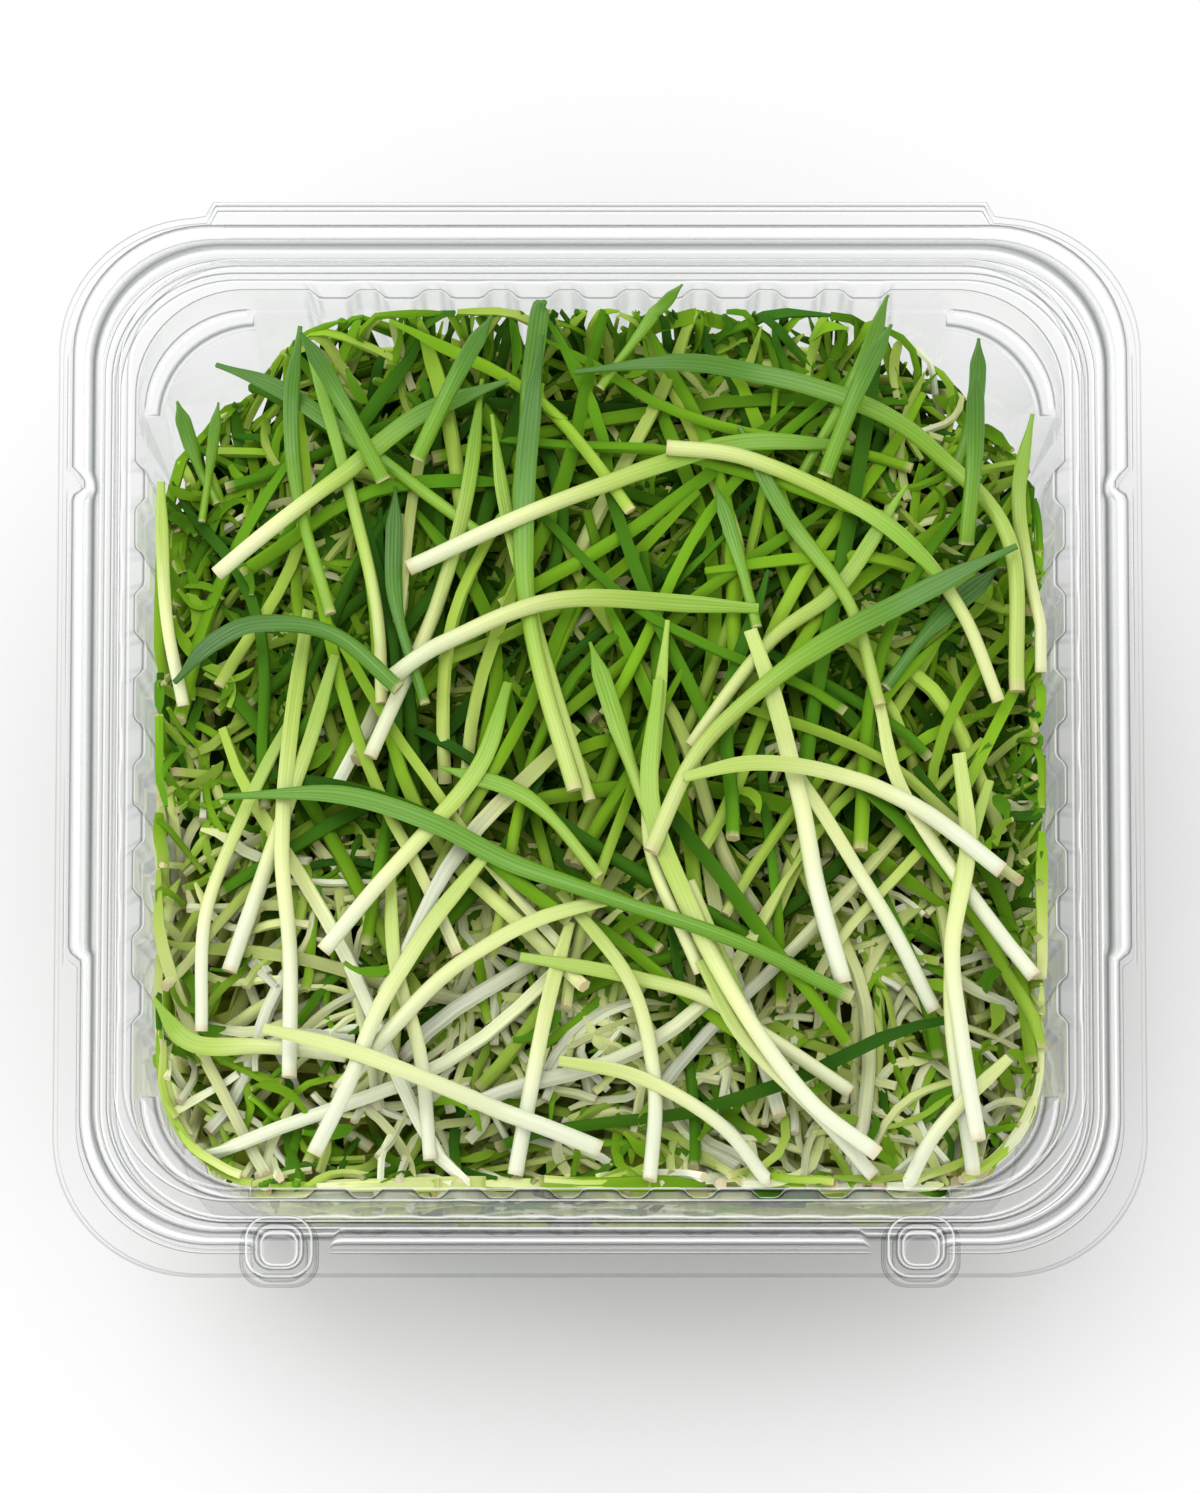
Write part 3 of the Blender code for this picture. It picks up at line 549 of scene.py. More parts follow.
heapSpec = {
    "seed": 23,
    "top": 43.0, "start": 15.0, "clear": 0.5, "openCorner": 11.0, "lowest": 3.0,
    "cell": 0.7, "reach": 58.0,
    "stems": 1000, "topStems": 110, "lengthFrom": 34.0, "lengthTo": 66.0,
    "bits": 1900, "bitFrom": 7.0, "bitTo": 19.0,
    "wallStems": 260, "floorStems": 160, "edgeLeaves": 130,
    "pressPower": 2.0, "leastDepth": 12.0, "mostShare": 1.2, "shadeDepth": (-1.0, 5.5),
    "wallCorner": 3.5, "openFrom": 0.0, "openTo": 30.0,
}
# how the heap's top falls towards the walls
slopeSpec = {
    "half": 54.0, "sideFall": 11.0, "sidePower": 3.2, "frontFall": 9.0, "frontPower": 3.4,
    "backFall": 6.0, "backPower": 3.0, "cornerFall": 14.0, "cornerFrom": 0.6,
}
heap, slopes = SimpleNamespace(**heapSpec), SimpleNamespace(**slopeSpec)
rng = random.Random(heap.seed)


def heapHeight(x, y):
    u, v = min(1.0, abs(x) / slopes.half), min(1.0, abs(y) / slopes.half)
    fall = slopes.sideFall * u ** slopes.sidePower
    if y < 0:
        fall += slopes.frontFall * v ** slopes.frontPower
    else:
        low = slopes.cornerFrom
        corner = slopes.cornerFall * smooth(u, low, 1.0) * smooth(v, low, 1.0)
        fall += slopes.backFall * v ** slopes.backPower + corner
    return heap.top - fall


def roomInset(height):
    share = min(1.0, max(0.0, height / sheet.rimHeight))
    foot, top = sheet.footInset + sheet.ribDepth, sheet.shelfInset + sheet.ribDepth
    return foot + (top - foot) * share


# the nearest place within the tray's walls; opening keeps the back corners clear
def keepInside(x, y, height, margin, opening=0.0):
    inset = roomInset(height) + heap.clear + margin
    opened = opening * smooth(y, heap.openFrom, heap.openTo)
    radius = sheet.cornerRadius - sheet.radiusFall * inset + heap.wallCorner + opened
    spanX, spanY = sheet.width / 2 - inset - radius, sheet.depth / 2 - inset - radius
    farY = y - sheet.openingShift
    awayX, awayY = max(0.0, abs(x) - spanX), max(0.0, abs(farY) - spanY)
    away = math.hypot(awayX, awayY)
    pull = radius / away if away > radius else 1.0
    heldX, heldY = min(abs(x), spanX) + awayX * pull, min(abs(farY), spanY) + awayY * pull
    return math.copysign(heldX, x), math.copysign(heldY, farY) + sheet.openingShift


def keepAll(plan, spec, opening):
    return np.array([keepInside(x, y, spec["level"], spec["margin"], opening) for x, y in plan])


# what lies where: the height of the heap's top in small cells, which every laid stem raises
axis = np.arange(-heap.reach, heap.reach, heap.cell)
targetField = np.array([[heapHeight(x, y) for x in axis] for y in axis])
field = targetField - heap.start


def cellsAt(plan):
    index = ((plan + heap.reach) / heap.cell).astype(int).clip(0, len(axis) - 1)
    return index[:, 1], index[:, 0]


def unit(rows, least=1e-6):
    return rows / np.maximum(np.linalg.norm(rows, axis=1, keepdims=True), least)


def acrossOf(plan):
    along = unit(np.gradient(plan, axis=0))
    return np.stack([-along[:, 1], along[:, 0]], axis=1)


# a stem rests on the high spots under it and sags between them
def layStem(plan, widths, thicks, sag, settle):
    across = acrossOf(plan)
    tops = np.full(len(plan), -99.0)
    for share in (-1.0, -0.5, 0.0, 0.5, 1.0):
        tops = np.maximum(tops, field[cellsAt(plan + across * (widths * share / 2)[:, None])])
    needed = tops + thicks / 2
    gone = np.concatenate([[0.0], np.cumsum(np.linalg.norm(np.diff(plan, axis=0), axis=1))])
    line = (needed[None, :] - sag * (gone[:, None] - gone[None, :]) ** 2).max(axis=1)
    for _ in range(5):
        line[1:-1] = (line[:-2] + 2 * line[1:-1] + line[2:]) / 4
    line = line - settle
    for share in (-1.0, -0.6, -0.2, 0.2, 0.6, 1.0):
        rows, columns = cellsAt(plan + across * (widths * share / 2)[:, None])
        np.maximum.at(field, (rows, columns), line + thicks / 2 * math.sqrt(1 - 0.8 * share**2))
    return np.column_stack([plan, line])


# an even spacing along a smooth curve through a few points
def smoothPath(points, count):
    knots = [np.array(p, float) for p in points]
    knots = [2 * knots[0] - knots[1], *knots, 2 * knots[-1] - knots[-2]]
    fine = []
    for a, b, c, d in zip(knots, knots[1:], knots[2:], knots[3:]):
        for t in np.linspace(0, 1, 12, endpoint=False):
            bend = (2 * a - 5 * b + 4 * c - d) * t**2 + (3 * b - a - 3 * c + d) * t**3
            fine.append(0.5 * (2 * b + (c - a) * t + bend))
    fine = np.array(fine + [knots[-2]])
    gone = np.concatenate([[0.0], np.cumsum(np.linalg.norm(np.diff(fine, axis=0), axis=1))])
    wanted = np.linspace(0, gone[-1], count)
    return np.column_stack([np.interp(wanted, gone, fine[:, k]) for k in range(fine.shape[1])])


def ease(t, low, high):
    t = np.clip((t - low) / (high - low), 0, 1)
    return t * t * (3 - 2 * t)


# widths and thicknesses along a stem: round where it was cut, a flat strap further on
bladeThick = 0.75


def stemSizes(t, width, blade, flatFrom, tip):
    narrow = 1 - (1 - tip) * ease(t, 0.80, 1.0)
    widths = (width + (blade - width) * ease(t, flatFrom - 0.12, flatFrom + 0.12)) * narrow
    thicks = width + (bladeThick - width) * ease(t, flatFrom - 0.15, flatFrom + 0.2)
    return widths, np.minimum(thicks, widths)


# a straight stem with its rings, which every stem in a piece is a bent copy of
def stemTemplate(sideCount, ringCount):
    bm = bmesh.new()
    bmesh.ops.create_cone(bm, cap_ends=True, segments=sideCount, radius1=1, radius2=1, depth=1)
    lengthwise = [e for e in bm.edges if abs(e.verts[0].co.z - e.verts[1].co.z) > 0.5]
    bmesh.ops.subdivide_edges(bm, edges=lengthwise, cuts=ringCount - 2, use_grid_fill=True)
    layer = bm.loops.layers.uv.new("along")
    for face in bm.faces:
        middle = math.atan2(face.calc_center_median().y, face.calc_center_median().x)
        for loop in face.loops:
            turn = math.atan2(loop.vert.co.y, loop.vert.co.x)
            turn = middle + (turn - middle + math.pi) % (2 * math.pi) - math.pi
            loop[layer].uv = (turn / (2 * math.pi), loop.vert.co.z + 0.5)
    mesh = bpy.data.meshes.new(f"stem{sideCount}x{ringCount}")
    bm.to_mesh(mesh)
    bm.free()
    return mesh


# what the green materials read at every vertex: tone, a brightness of each stem, and depth, which
# paints shade on what lies deep in the heap
def setLooks(mesh, *looks):
    for label, values in zip(("tone", "shade", "depth"), looks):
        mesh.attributes.new(label, "FLOAT", "POINT").data.foreach_set("value", values.astype(np.float32))


# each stem holds its line (n, 3), and along it its widths, thicknesses, tones and blade folds
def stemPiece(name, stems, template, body, material=None):
    co = np.array([v.co for v in template.vertices])
    ring = co[:, 2] + 0.5
    angle = np.arctan2(co[:, 1], co[:, 0])
    bm = bmesh.new()
    keys = ("width", "thick", "fold", "tone")
    allPlaces, tones, shades, paintedShades = [], [], [], []
    for stem in stems:
        bm.from_mesh(template)
        line = stem["line"]
        t = np.linspace(0, 1, len(line))
        centre = np.column_stack([np.interp(ring, t, line[:, k]) for k in range(3)])
        along = unit(np.gradient(line, axis=0))
        along = np.column_stack([np.interp(ring, t, along[:, k]) for k in range(3)])
        flat = unit(np.cross(along, (0.0, 0.0, 1.0)), 1e-3)
        lean = stem.get("lean", 0.0)
        normal = np.cross(flat, along)
        across = flat * math.cos(lean) + normal * math.sin(lean)
        over = np.cross(across, along)
        width, thick, fold, tone = (np.interp(ring, t, stem[key]) for key in keys)
        c, s = np.cos(angle), np.sin(angle)
        places = centre + across * (width / 2 * c)[:, None]
        places += over * (thick / 2 * s + fold * width * (np.abs(c) - 0.5))[:, None]
        allPlaces.append(places)
        tones.append(tone)
        shades.append(np.full(len(ring), stem["shade"]))
        paintedShades.append(np.interp(ring, t, stem.get("depth", 0.0) + 0 * t))
    piece = toObject(name, bm, material or tangledGreen, body)
    mesh = piece.data
    places = np.concatenate(allPlaces)
    places[:, 1] += planShift
    mesh.vertices.foreach_set("co", (places * mm).astype(np.float32).ravel())
    setLooks(mesh, np.concatenate(tones), np.concatenate(shades), np.concatenate(paintedShades))
    mesh.set_sharp_from_angle(angle=math.radians(60))
    mesh.update()
    return piece


def stemOf(line, width, thick, tone, shade, fold, **more):
    return {"line": line, "width": width, "thick": thick, "tone": tone, "shade": shade, "fold": fold, **more}


def foldOf(t, amount, flatFrom):
    return amount * ease(t, flatFrom, flatFrom + 0.25)


# tone from the cut end to the tip, and greener towards the back as the bunch lies
def toneOf(t, y, start, end, pull):
    return start + (end - start) * ease(t, 0.05, 0.95) + pull * np.clip(y / 50, -1, 1)


# a wandering line on the plan, the best of a few tries: where the heap is low, off the walls
wanderSpec = {
    "x": (-54, 54), "y": (-56, 50), "stride": 1.2, "level": 44.0, "margin": 0.1,
    "mostPushed": 0.8, "fewest": 7, "cutLoss": 6.0,
}


def wanderingPlan(fromLength, toLength, spread, bend, tries):
    pick, spec, opening = None, wanderSpec, heap.openCorner
    for _ in range(tries):
        x, y = rng.uniform(*spec["x"]), rng.uniform(*spec["y"])
        heading = math.radians(90 + rng.gauss(0, spread))
        length = rng.uniform(fromLength, toLength)
        count = max(8, int(length / spec["stride"]))
        share = np.linspace(0, 1, count)
        turn = heading + rng.uniform(-bend, bend) * share
        turn = turn + rng.uniform(-bend, bend) / 2 * np.sin(6 * share)
        stride = np.column_stack([np.cos(turn), np.sin(turn)]) * length / (count - 1)
        plan = np.cumsum(stride, axis=0) + (x, y)
        inside = keepAll(plan, spec, opening)
        pushed = np.linalg.norm(plan - inside, axis=1)
        over = pushed > spec["mostPushed"]
        kept = int(np.argmax(over)) if over.any() else count
        if kept < spec["fewest"]:
            continue
        inside = inside[:kept]
        short = (field[cellsAt(inside)] - targetField[cellsAt(inside)]).mean()
        loss = spec["cutLoss"] * (1 - kept / count)
        if pick is None or short + loss < pick[0]:
            pick = (short + loss, inside)
    return pick[1] if pick else wanderingPlan(fromLength, toLength, spread, bend, tries)


# green at the back and pale at the front, as the bunch lies in the tray
toneSpec = {"back": 0.86, "fall": 0.74, "from": -30.0, "to": 3.0, "wave": 4, "waveLength": 9.0, "slant": 0.06}


def placeTone(x, y):
    spec = toneSpec
    wavy = y + spec["wave"] * np.sin(x / spec["waveLength"]) + spec["slant"] * x
    return spec["back"] - spec["fall"] * (1 - ease(wavy, spec["from"], spec["to"]))


# the mixture of tones: at the front mostly pale stems, at the back mostly leaves
toneKinds = ((0.02, 0.22), (0.28, 0.46), (0.50, 0.72), (0.78, 1.0))
frontShares, backShares = (0.76, 0.17, 0.05, 0.02), (0.04, 0.24, 0.40, 0.32)


def pickTone(x, y):
    green = float(placeTone(x, y)) / toneSpec["back"]
    shares = [f + (b - f) * green for f, b in zip(frontShares, backShares)]
    return rng.uniform(*rng.choices(toneKinds, shares)[0])


def strewn(count, lengths, spread, bend, widthFrom, widthTo, tries, settle):
    made = []
    for _ in range(count):
        plan = wanderingPlan(*lengths, spread, bend, tries)
        t = np.linspace(0, 1, len(plan))
        width = rng.uniform(widthFrom, widthTo)
        flatFrom = rng.uniform(0.25, 0.7)
        blade = width * rng.uniform(0.95, 1.25)
        widths, thicks = stemSizes(t, width, blade, flatFrom, rng.uniform(0.15, 0.7))
        line = layStem(plan, widths, thicks, rng.uniform(0.015, 0.04), settle)
        own = pickTone(*plan[len(plan) // 2])
        near = placeTone(plan[:, 0], plan[:, 1])
        tone = own + 0.35 * (near - near.mean()) + 0.22 * (t - 0.5)
        made.append(stemOf(
            line, widths, thicks, tone, rng.uniform(0.78, 1.2), foldOf(t, rng.uniform(0.0, 0.25), flatFrom),
            lean=rng.uniform(-0.6, 0.6), middle=plan[:, 1].mean(),
        ))
    return made


def blurred(values, reach):
    grown = np.pad(values, reach, mode="edge")
    sums = grown.cumsum(0).cumsum(1)
    sums = np.pad(sums, ((1, 0), (1, 0)))
    side = 2 * reach + 1
    return (sums[side:, side:] - sums[:-side, side:] - sums[side:, :-side] + sums[:-side, :-side]) / side**2


# presses the heap down to its height, the bottom more than the top, and paints shade on each stem
# by how far under the heap's top it lies
def pressHeap(stems):
    base = targetField - heap.start
    depth = np.maximum(blurred(blurred(field, 3), 3) - base, heap.leastDepth)
    field[:] = base
    for number, stem in enumerate(stems):
        line, hang = stem["line"], number * 7 % 15  # lets some of the lowest stems hang down
        at = cellsAt(line[:, :2])
        share = np.clip((line[:, 2] - base[at]) / depth[at], 0.0, heap.mostShare)
        line[:, 2] = base[at] + heap.start * share ** heap.pressPower
        line[:, 2] = np.maximum(line[:, 2] - hang * (1 - share).clip(0, 1) ** 3, heap.lowest)
        for _ in range(2):
            line[1:-1, 2] = (line[:-2, 2] + 2 * line[1:-1, 2] + line[2:, 2]) / 4
        line[:, :2] = [keepInside(p[0], p[1], p[2], 0.3, heap.openCorner) for p in line]
        np.maximum.at(field, at, line[:, 2] + stem["thick"] / 2)
        stem["depth"] = ease(targetField[at] - line[:, 2], *heap.shadeDepth)


# count, lengths, spread of headings, bend, widths, tries and how far each kind settles
lengthy = (heap.lengthFrom, heap.lengthTo)
short = (heap.bitFrom, heap.bitTo)
loose = strewn(heap.stems, lengthy, 44, 0.9, 1.1, 1.75, 5, 0.5)
bits = strewn(heap.bits, short, 75, 1.3, 0.8, 1.35, 3, 1.1)
loose += strewn(heap.topStems, lengthy, 40, 0.6, 1.3, 1.9, 5, 0.5)


# small curled leaves by the walls
edgeSpec = {
    "along": 50, "inset": 13.5, "spread": 0.25, "curl": (0.5, 2.2), "length": (3, 8),
    "level": 44.0, "margin": 0.3, "width": 0.7, "blade": (1.1, 2.0), "thin": 0.6,
    "tone": (0.42, 0.8), "shade": (0.8, 1.15),
}


def edgeLeaves(count):
    made, spec, opening = [], edgeSpec, heap.openCorner / 2
    for number in range(count):
        side = ("right", "back", "left", "right", "left", "front")[number % 6]
        place = rng.uniform(-spec["along"], spec["along"])
        inset = spec["inset"] + rng.expovariate(spec["spread"])
        x, y = sidePoint(side, place, inset, sheet.openingShift)
        turn = rng.uniform(0, 2 * math.pi) + rng.uniform(*spec["curl"]) * np.linspace(0, 1, 8)
        stride = rng.uniform(*spec["length"]) / 7
        plan = np.cumsum(np.column_stack([np.cos(turn), np.sin(turn)]) * stride, axis=0) + (x, y)
        plan = keepAll(plan, spec, opening)
        t = np.linspace(0, 1, 8)
        widths, thicks = stemSizes(t, spec["width"], rng.uniform(*spec["blade"]), 0.3, 0.15)
        thicks = thicks * spec["thin"]
        made.append(stemOf(
            layStem(plan, widths, thicks, 0.04, 0.7), widths, thicks,
            rng.uniform(*spec["tone"]) + 0 * t, rng.uniform(*spec["shade"]),
            foldOf(t, rng.uniform(0.1, 0.4), 0.2), lean=rng.uniform(-0.8, 0.8), middle=y,
        ))
    return made


bits += edgeLeaves(heap.edgeLeaves)
print("loose stems laid:", len(loose) + len(bits), "over", round(float((field - targetField).mean()), 2))
pressHeap(loose + bits)
looseTemplate, bitTemplate = stemTemplate(6, 13), stemTemplate(5, 8)


def heapPiece(name, stems, template, pale):
    chosen = [s for s in stems if (s["middle"] < -12) == pale]
    return stemPiece(name, chosen, template, "base")


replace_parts(heapPiece("paleHeap", loose, looseTemplate, True), "pale_stem_bed")
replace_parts(heapPiece("greenHeap", loose, looseTemplate, False), "green_leaf_bed")
heapPiece("paleBits", bits, bitTemplate, True)
heapPiece("greenBits", bits, bitTemplate, False)


# the middle of the heap, under the loose stems
coreSpec = {
    "sink": 8.0, "rough": 1.5, "inset": 2.5, "corner": 3.0, "level": 30.0, "floor": 2.6, "taper": 0.93,
}


def makeCore():
    bm, spec = bmesh.new(), coreSpec
    bmesh.ops.create_grid(bm, x_segments=60, y_segments=60, size=1.0)
    for vert in bm.verts:
        opening = heap.openCorner + spec["corner"]
        x, y = keepInside(vert.co.x * 60, vert.co.y * 60, spec["level"], spec["inset"], opening)
        height = heapHeight(x, y) - spec["sink"] + rng.uniform(-spec["rough"], spec["rough"])
        vert.co = inPlace((x, y, height))
    border = [e for e in bm.edges if e.is_boundary]
    pulled = bmesh.ops.extrude_edge_only(bm, edges=border)["geom"]
    for vert in [g for g in pulled if isinstance(g, bmesh.types.BMVert)]:
        vert.co.z = spec["floor"] * mm
        vert.co.x *= spec["taper"]
        vert.co.y *= spec["taper"]
    bmesh.ops.holes_fill(bm, edges=[e for e in bm.edges if e.is_boundary])
    bmesh.ops.recalc_face_normals(bm, faces=bm.faces)
    core = toObject("heapCore", bm, tangledGreen, "base")
    ys = np.array([v.co.y for v in core.data.vertices]) / mm
    tones = 0.55 + 0.3 * np.clip(ys / 30, -1, 1)
    # the core gets the full painted deep shade
    setLooks(core.data, tones, 0.8 + 0 * ys, 1 + 0 * ys)
    core.data.uv_layers.new(name="along")
    return core


makeCore()


# Stems that lean against the walls, which the clear sides show

wallSpec = {
    "start": (-54, 50), "low": 2.5, "rise": 32.0, "risePower": 1.5, "heading": (70, 48), "length": (16, 40),
    "reach": 51.0, "inset": 11.5, "lowest": 2.4, "underTop": 5.0, "sink": 0.5, "layer": 0.8,
    "paintedShades": (0.0, 0.3, 0.6, 0.85),
}
sideWidths, sideShades, sideBlade = (1.2, 2.1), (0.8, 1.1), 1.2


def wallStems(count):
    made, spec = [], wallSpec
    for side in sides:
        for number in range(count):
            start = rng.uniform(*spec["start"])
            low = spec["low"] + spec["rise"] * rng.random() ** spec["risePower"]
            turn = math.radians(rng.gauss(*spec["heading"]))
            length = rng.uniform(*spec["length"])
            places = []
            for s in np.linspace(0, length, 14):
                place = min(spec["reach"], max(-spec["reach"], start + s * math.cos(turn)))
                x, y = sidePoint(side, place, spec["inset"], sheet.openingShift)
                height = max(spec["lowest"], low + s * math.sin(turn))
                height = min(height, heapHeight(x, y) - spec["underTop"])
                sunk = spec["sink"] + rng.uniform(0.0, 0.4) + number % 4 * spec["layer"]
                x, y = keepInside(x, y, height, sunk, heap.openCorner)
                places.append((x, y, height))
            line = smoothPath(places[::3] + [places[-1]], 16)
            t = np.linspace(0, 1, len(line))
            width = rng.uniform(*sideWidths)
            widths, thicks = stemSizes(t, width, width * sideBlade, 0.6, 0.4)
            tone = pickTone(*line[8, :2]) + 0.2 * (t - 0.5)
            # painted shade, more on the layers that lie further from the wall
            depth = spec["paintedShades"][number % 4]
            made.append(stemOf(line, widths, thicks, tone, rng.uniform(*sideShades), 0 * t, depth=depth))
    return made


# and on the floor, which shows from below
floorSpec = {
    "half": 46, "length": (20, 45), "bow": 4, "height": 1.5, "layer": 0.9, "level": 2.0, "margin": 1.0,
}


def floorStems(count):
    made, spec, half, bow = [], floorSpec, floorSpec["half"], floorSpec["bow"]
    for number in range(count):
        x, y, turn = rng.uniform(-half, half), rng.uniform(-half, half), rng.uniform(0, 2 * math.pi)
        reach = np.linspace(0, rng.uniform(*spec["length"]), 14)[:, None]
        plan = np.array([x, y]) + reach * np.array([math.cos(turn), math.sin(turn)])
        plan += (reach / 30) ** 2 * rng.uniform(-bow, bow) * np.array([-math.sin(turn), math.cos(turn)])
        plan = keepAll(plan, spec, heap.openCorner)
        t = np.linspace(0, 1, len(plan))
        width = rng.uniform(*sideWidths)
        widths, thicks = stemSizes(t, width, width * sideBlade, 0.6, 0.4)
        height = spec["height"] + width / 2 + number % 4 * spec["layer"]
        line, tone = np.column_stack([plan, height + 0 * t]), pickTone(*plan[7]) + 0.2 * (t - 0.5)
        made.append(stemOf(line, widths, thicks, tone, rng.uniform(*sideShades), 0 * t))
    return made


sideTemplate = stemTemplate(6, 9)
stemPiece("wallStems", wallStems(heap.wallStems), sideTemplate, "base")
stemPiece("floorStems", floorStems(heap.floorStems), sideTemplate, "base")
print("wall and floor stems placed")


# The long stems on top, each from its cut end to its tip: the solid that it stands for, its tone
# from and to, the width of stem and blade, how blunt its tip is, and its route in plan, with the
# lift over what is under it where there is one

laidStems = [
    ("leaf_01", 0.30, 0.85, 2.4, 3.0, 0.3, (50, 8), (49, 27), (39, 39), (27, 45), (13, 48, 1), (-3, 47)),
    ("stem_02", 0.02, 0.30, 2.4, 2.6, 0.8, (45, -48), (43, -35), (42, -24), (44, -12), (43, 0)),
    ("stem_03", 0.02, 0.40, 2.3, 2.4, 0.8, (-37, -40), (-37, -25), (-38, -12), (-37, 3), (-35, 18)),
    ("leaf_04", 0.08, 0.80, 2.4, 3.0, 0.3, (-46, 22), (-31, 34), (-21, 42), (-11, 46, 1)),
    ("leaf_05", 0.30, 0.90, 2.4, 3.2, 0.3,
     (-3, -6), (-7, 8), (-9, 20), (-9, 32, 1), (-8, 43, 3), (-7, 50, 5)),
    ("stem_06", 0.05, 0.62, 2.5, 2.8, 0.6, (-23, 22), (-5, 30), (7, 35), (17, 38), (30, 38)),
    ("stem_07", 0.05, 0.55, 2.4, 2.6, 0.6, (-33, -25), (-27, -18), (-20, -10), (-14, -2), (-11, 8)),
    ("stem_08", 0.03, 0.50, 2.4, 2.8, 0.6, (33, -50), (25, -44), (17, -33), (10, -19), (6, -7), (7, 8)),
    ("stem_09", 0.0, 0.30, 2.7, 2.6, 0.8, (29, -29), (26, -18), (24, -7), (21, 5), (18, 14)),
    ("stem_10", 0.08, 0.30, 2.4, 2.4, 0.8, (-31, -42), (-24, -34), (-17, -27), (-8, -22), (2, -19)),
    ("stem_11", 0.06, 0.50, 2.5, 2.7, 0.6, (-26, 7), (-19, 12), (-7, 17), (5, 18), (19, 17)),
    ("leaf_12", 0.20, 0.55, 2.4, 2.6, 0.5, (8, 37), (17, 36), (27, 32), (35, 27), (42, 20)),
    ("leaf_13", 0.25, 0.85, 2.4, 3.4, 0.3, (6, -14), (12, -1), (21, 8), (31, 15), (42, 21), (50, 25, 1)),
    ("stem_14", 0.0, 0.35, 2.6, 2.5, 0.7, (48, -15), (39, -8), (30, -4), (19, -3), (10, -5)),
    ("stem_15", 0.02, 0.35, 2.4, 2.5, 0.7, (-34, -50), (-30, -42), (-26, -32), (-20, -22), (-13, -13)),
    ("leaf_16", 0.75, 0.95, 2.4, 3.0, 0.3, (-24, 6), (-32, 13), (-41, 15), (-47, 13), (-51, 9, 1)),
    ("stem_17", 0.03, 0.25, 2.7, 2.5, 0.7, (0, -49), (-8, -46), (-19, -42), (-30, -38), (-40, -35)),
    ("leaf_18", 0.70, 0.75, 2.2, 3.2, 0.3,
     (30, -31), (17, -25), (3, -20), (-10, -15), (-20, -10), (-32, -6), (-45, -6, 1)),
    ("leaf_19", 0.60, 0.85, 2.4, 2.8, 0.2, (44, 26), (45, 37, 3), (45, 46, 8)),
    ("leaf_20", 0.60, 0.80, 2.4, 2.6, 0.2, (27, 34), (31, 44, 3), (35, 51, 8)),
    ("leaf_21", 0.60, 0.85, 2.4, 2.6, 0.2, (-26, 33), (-32, 44, 3), (-36, 50, 8)),
    ("leaf_22", 0.60, 0.85, 2.4, 2.6, 0.2, (-22, 36), (-17, 46, 3), (-13, 52, 8)),
]


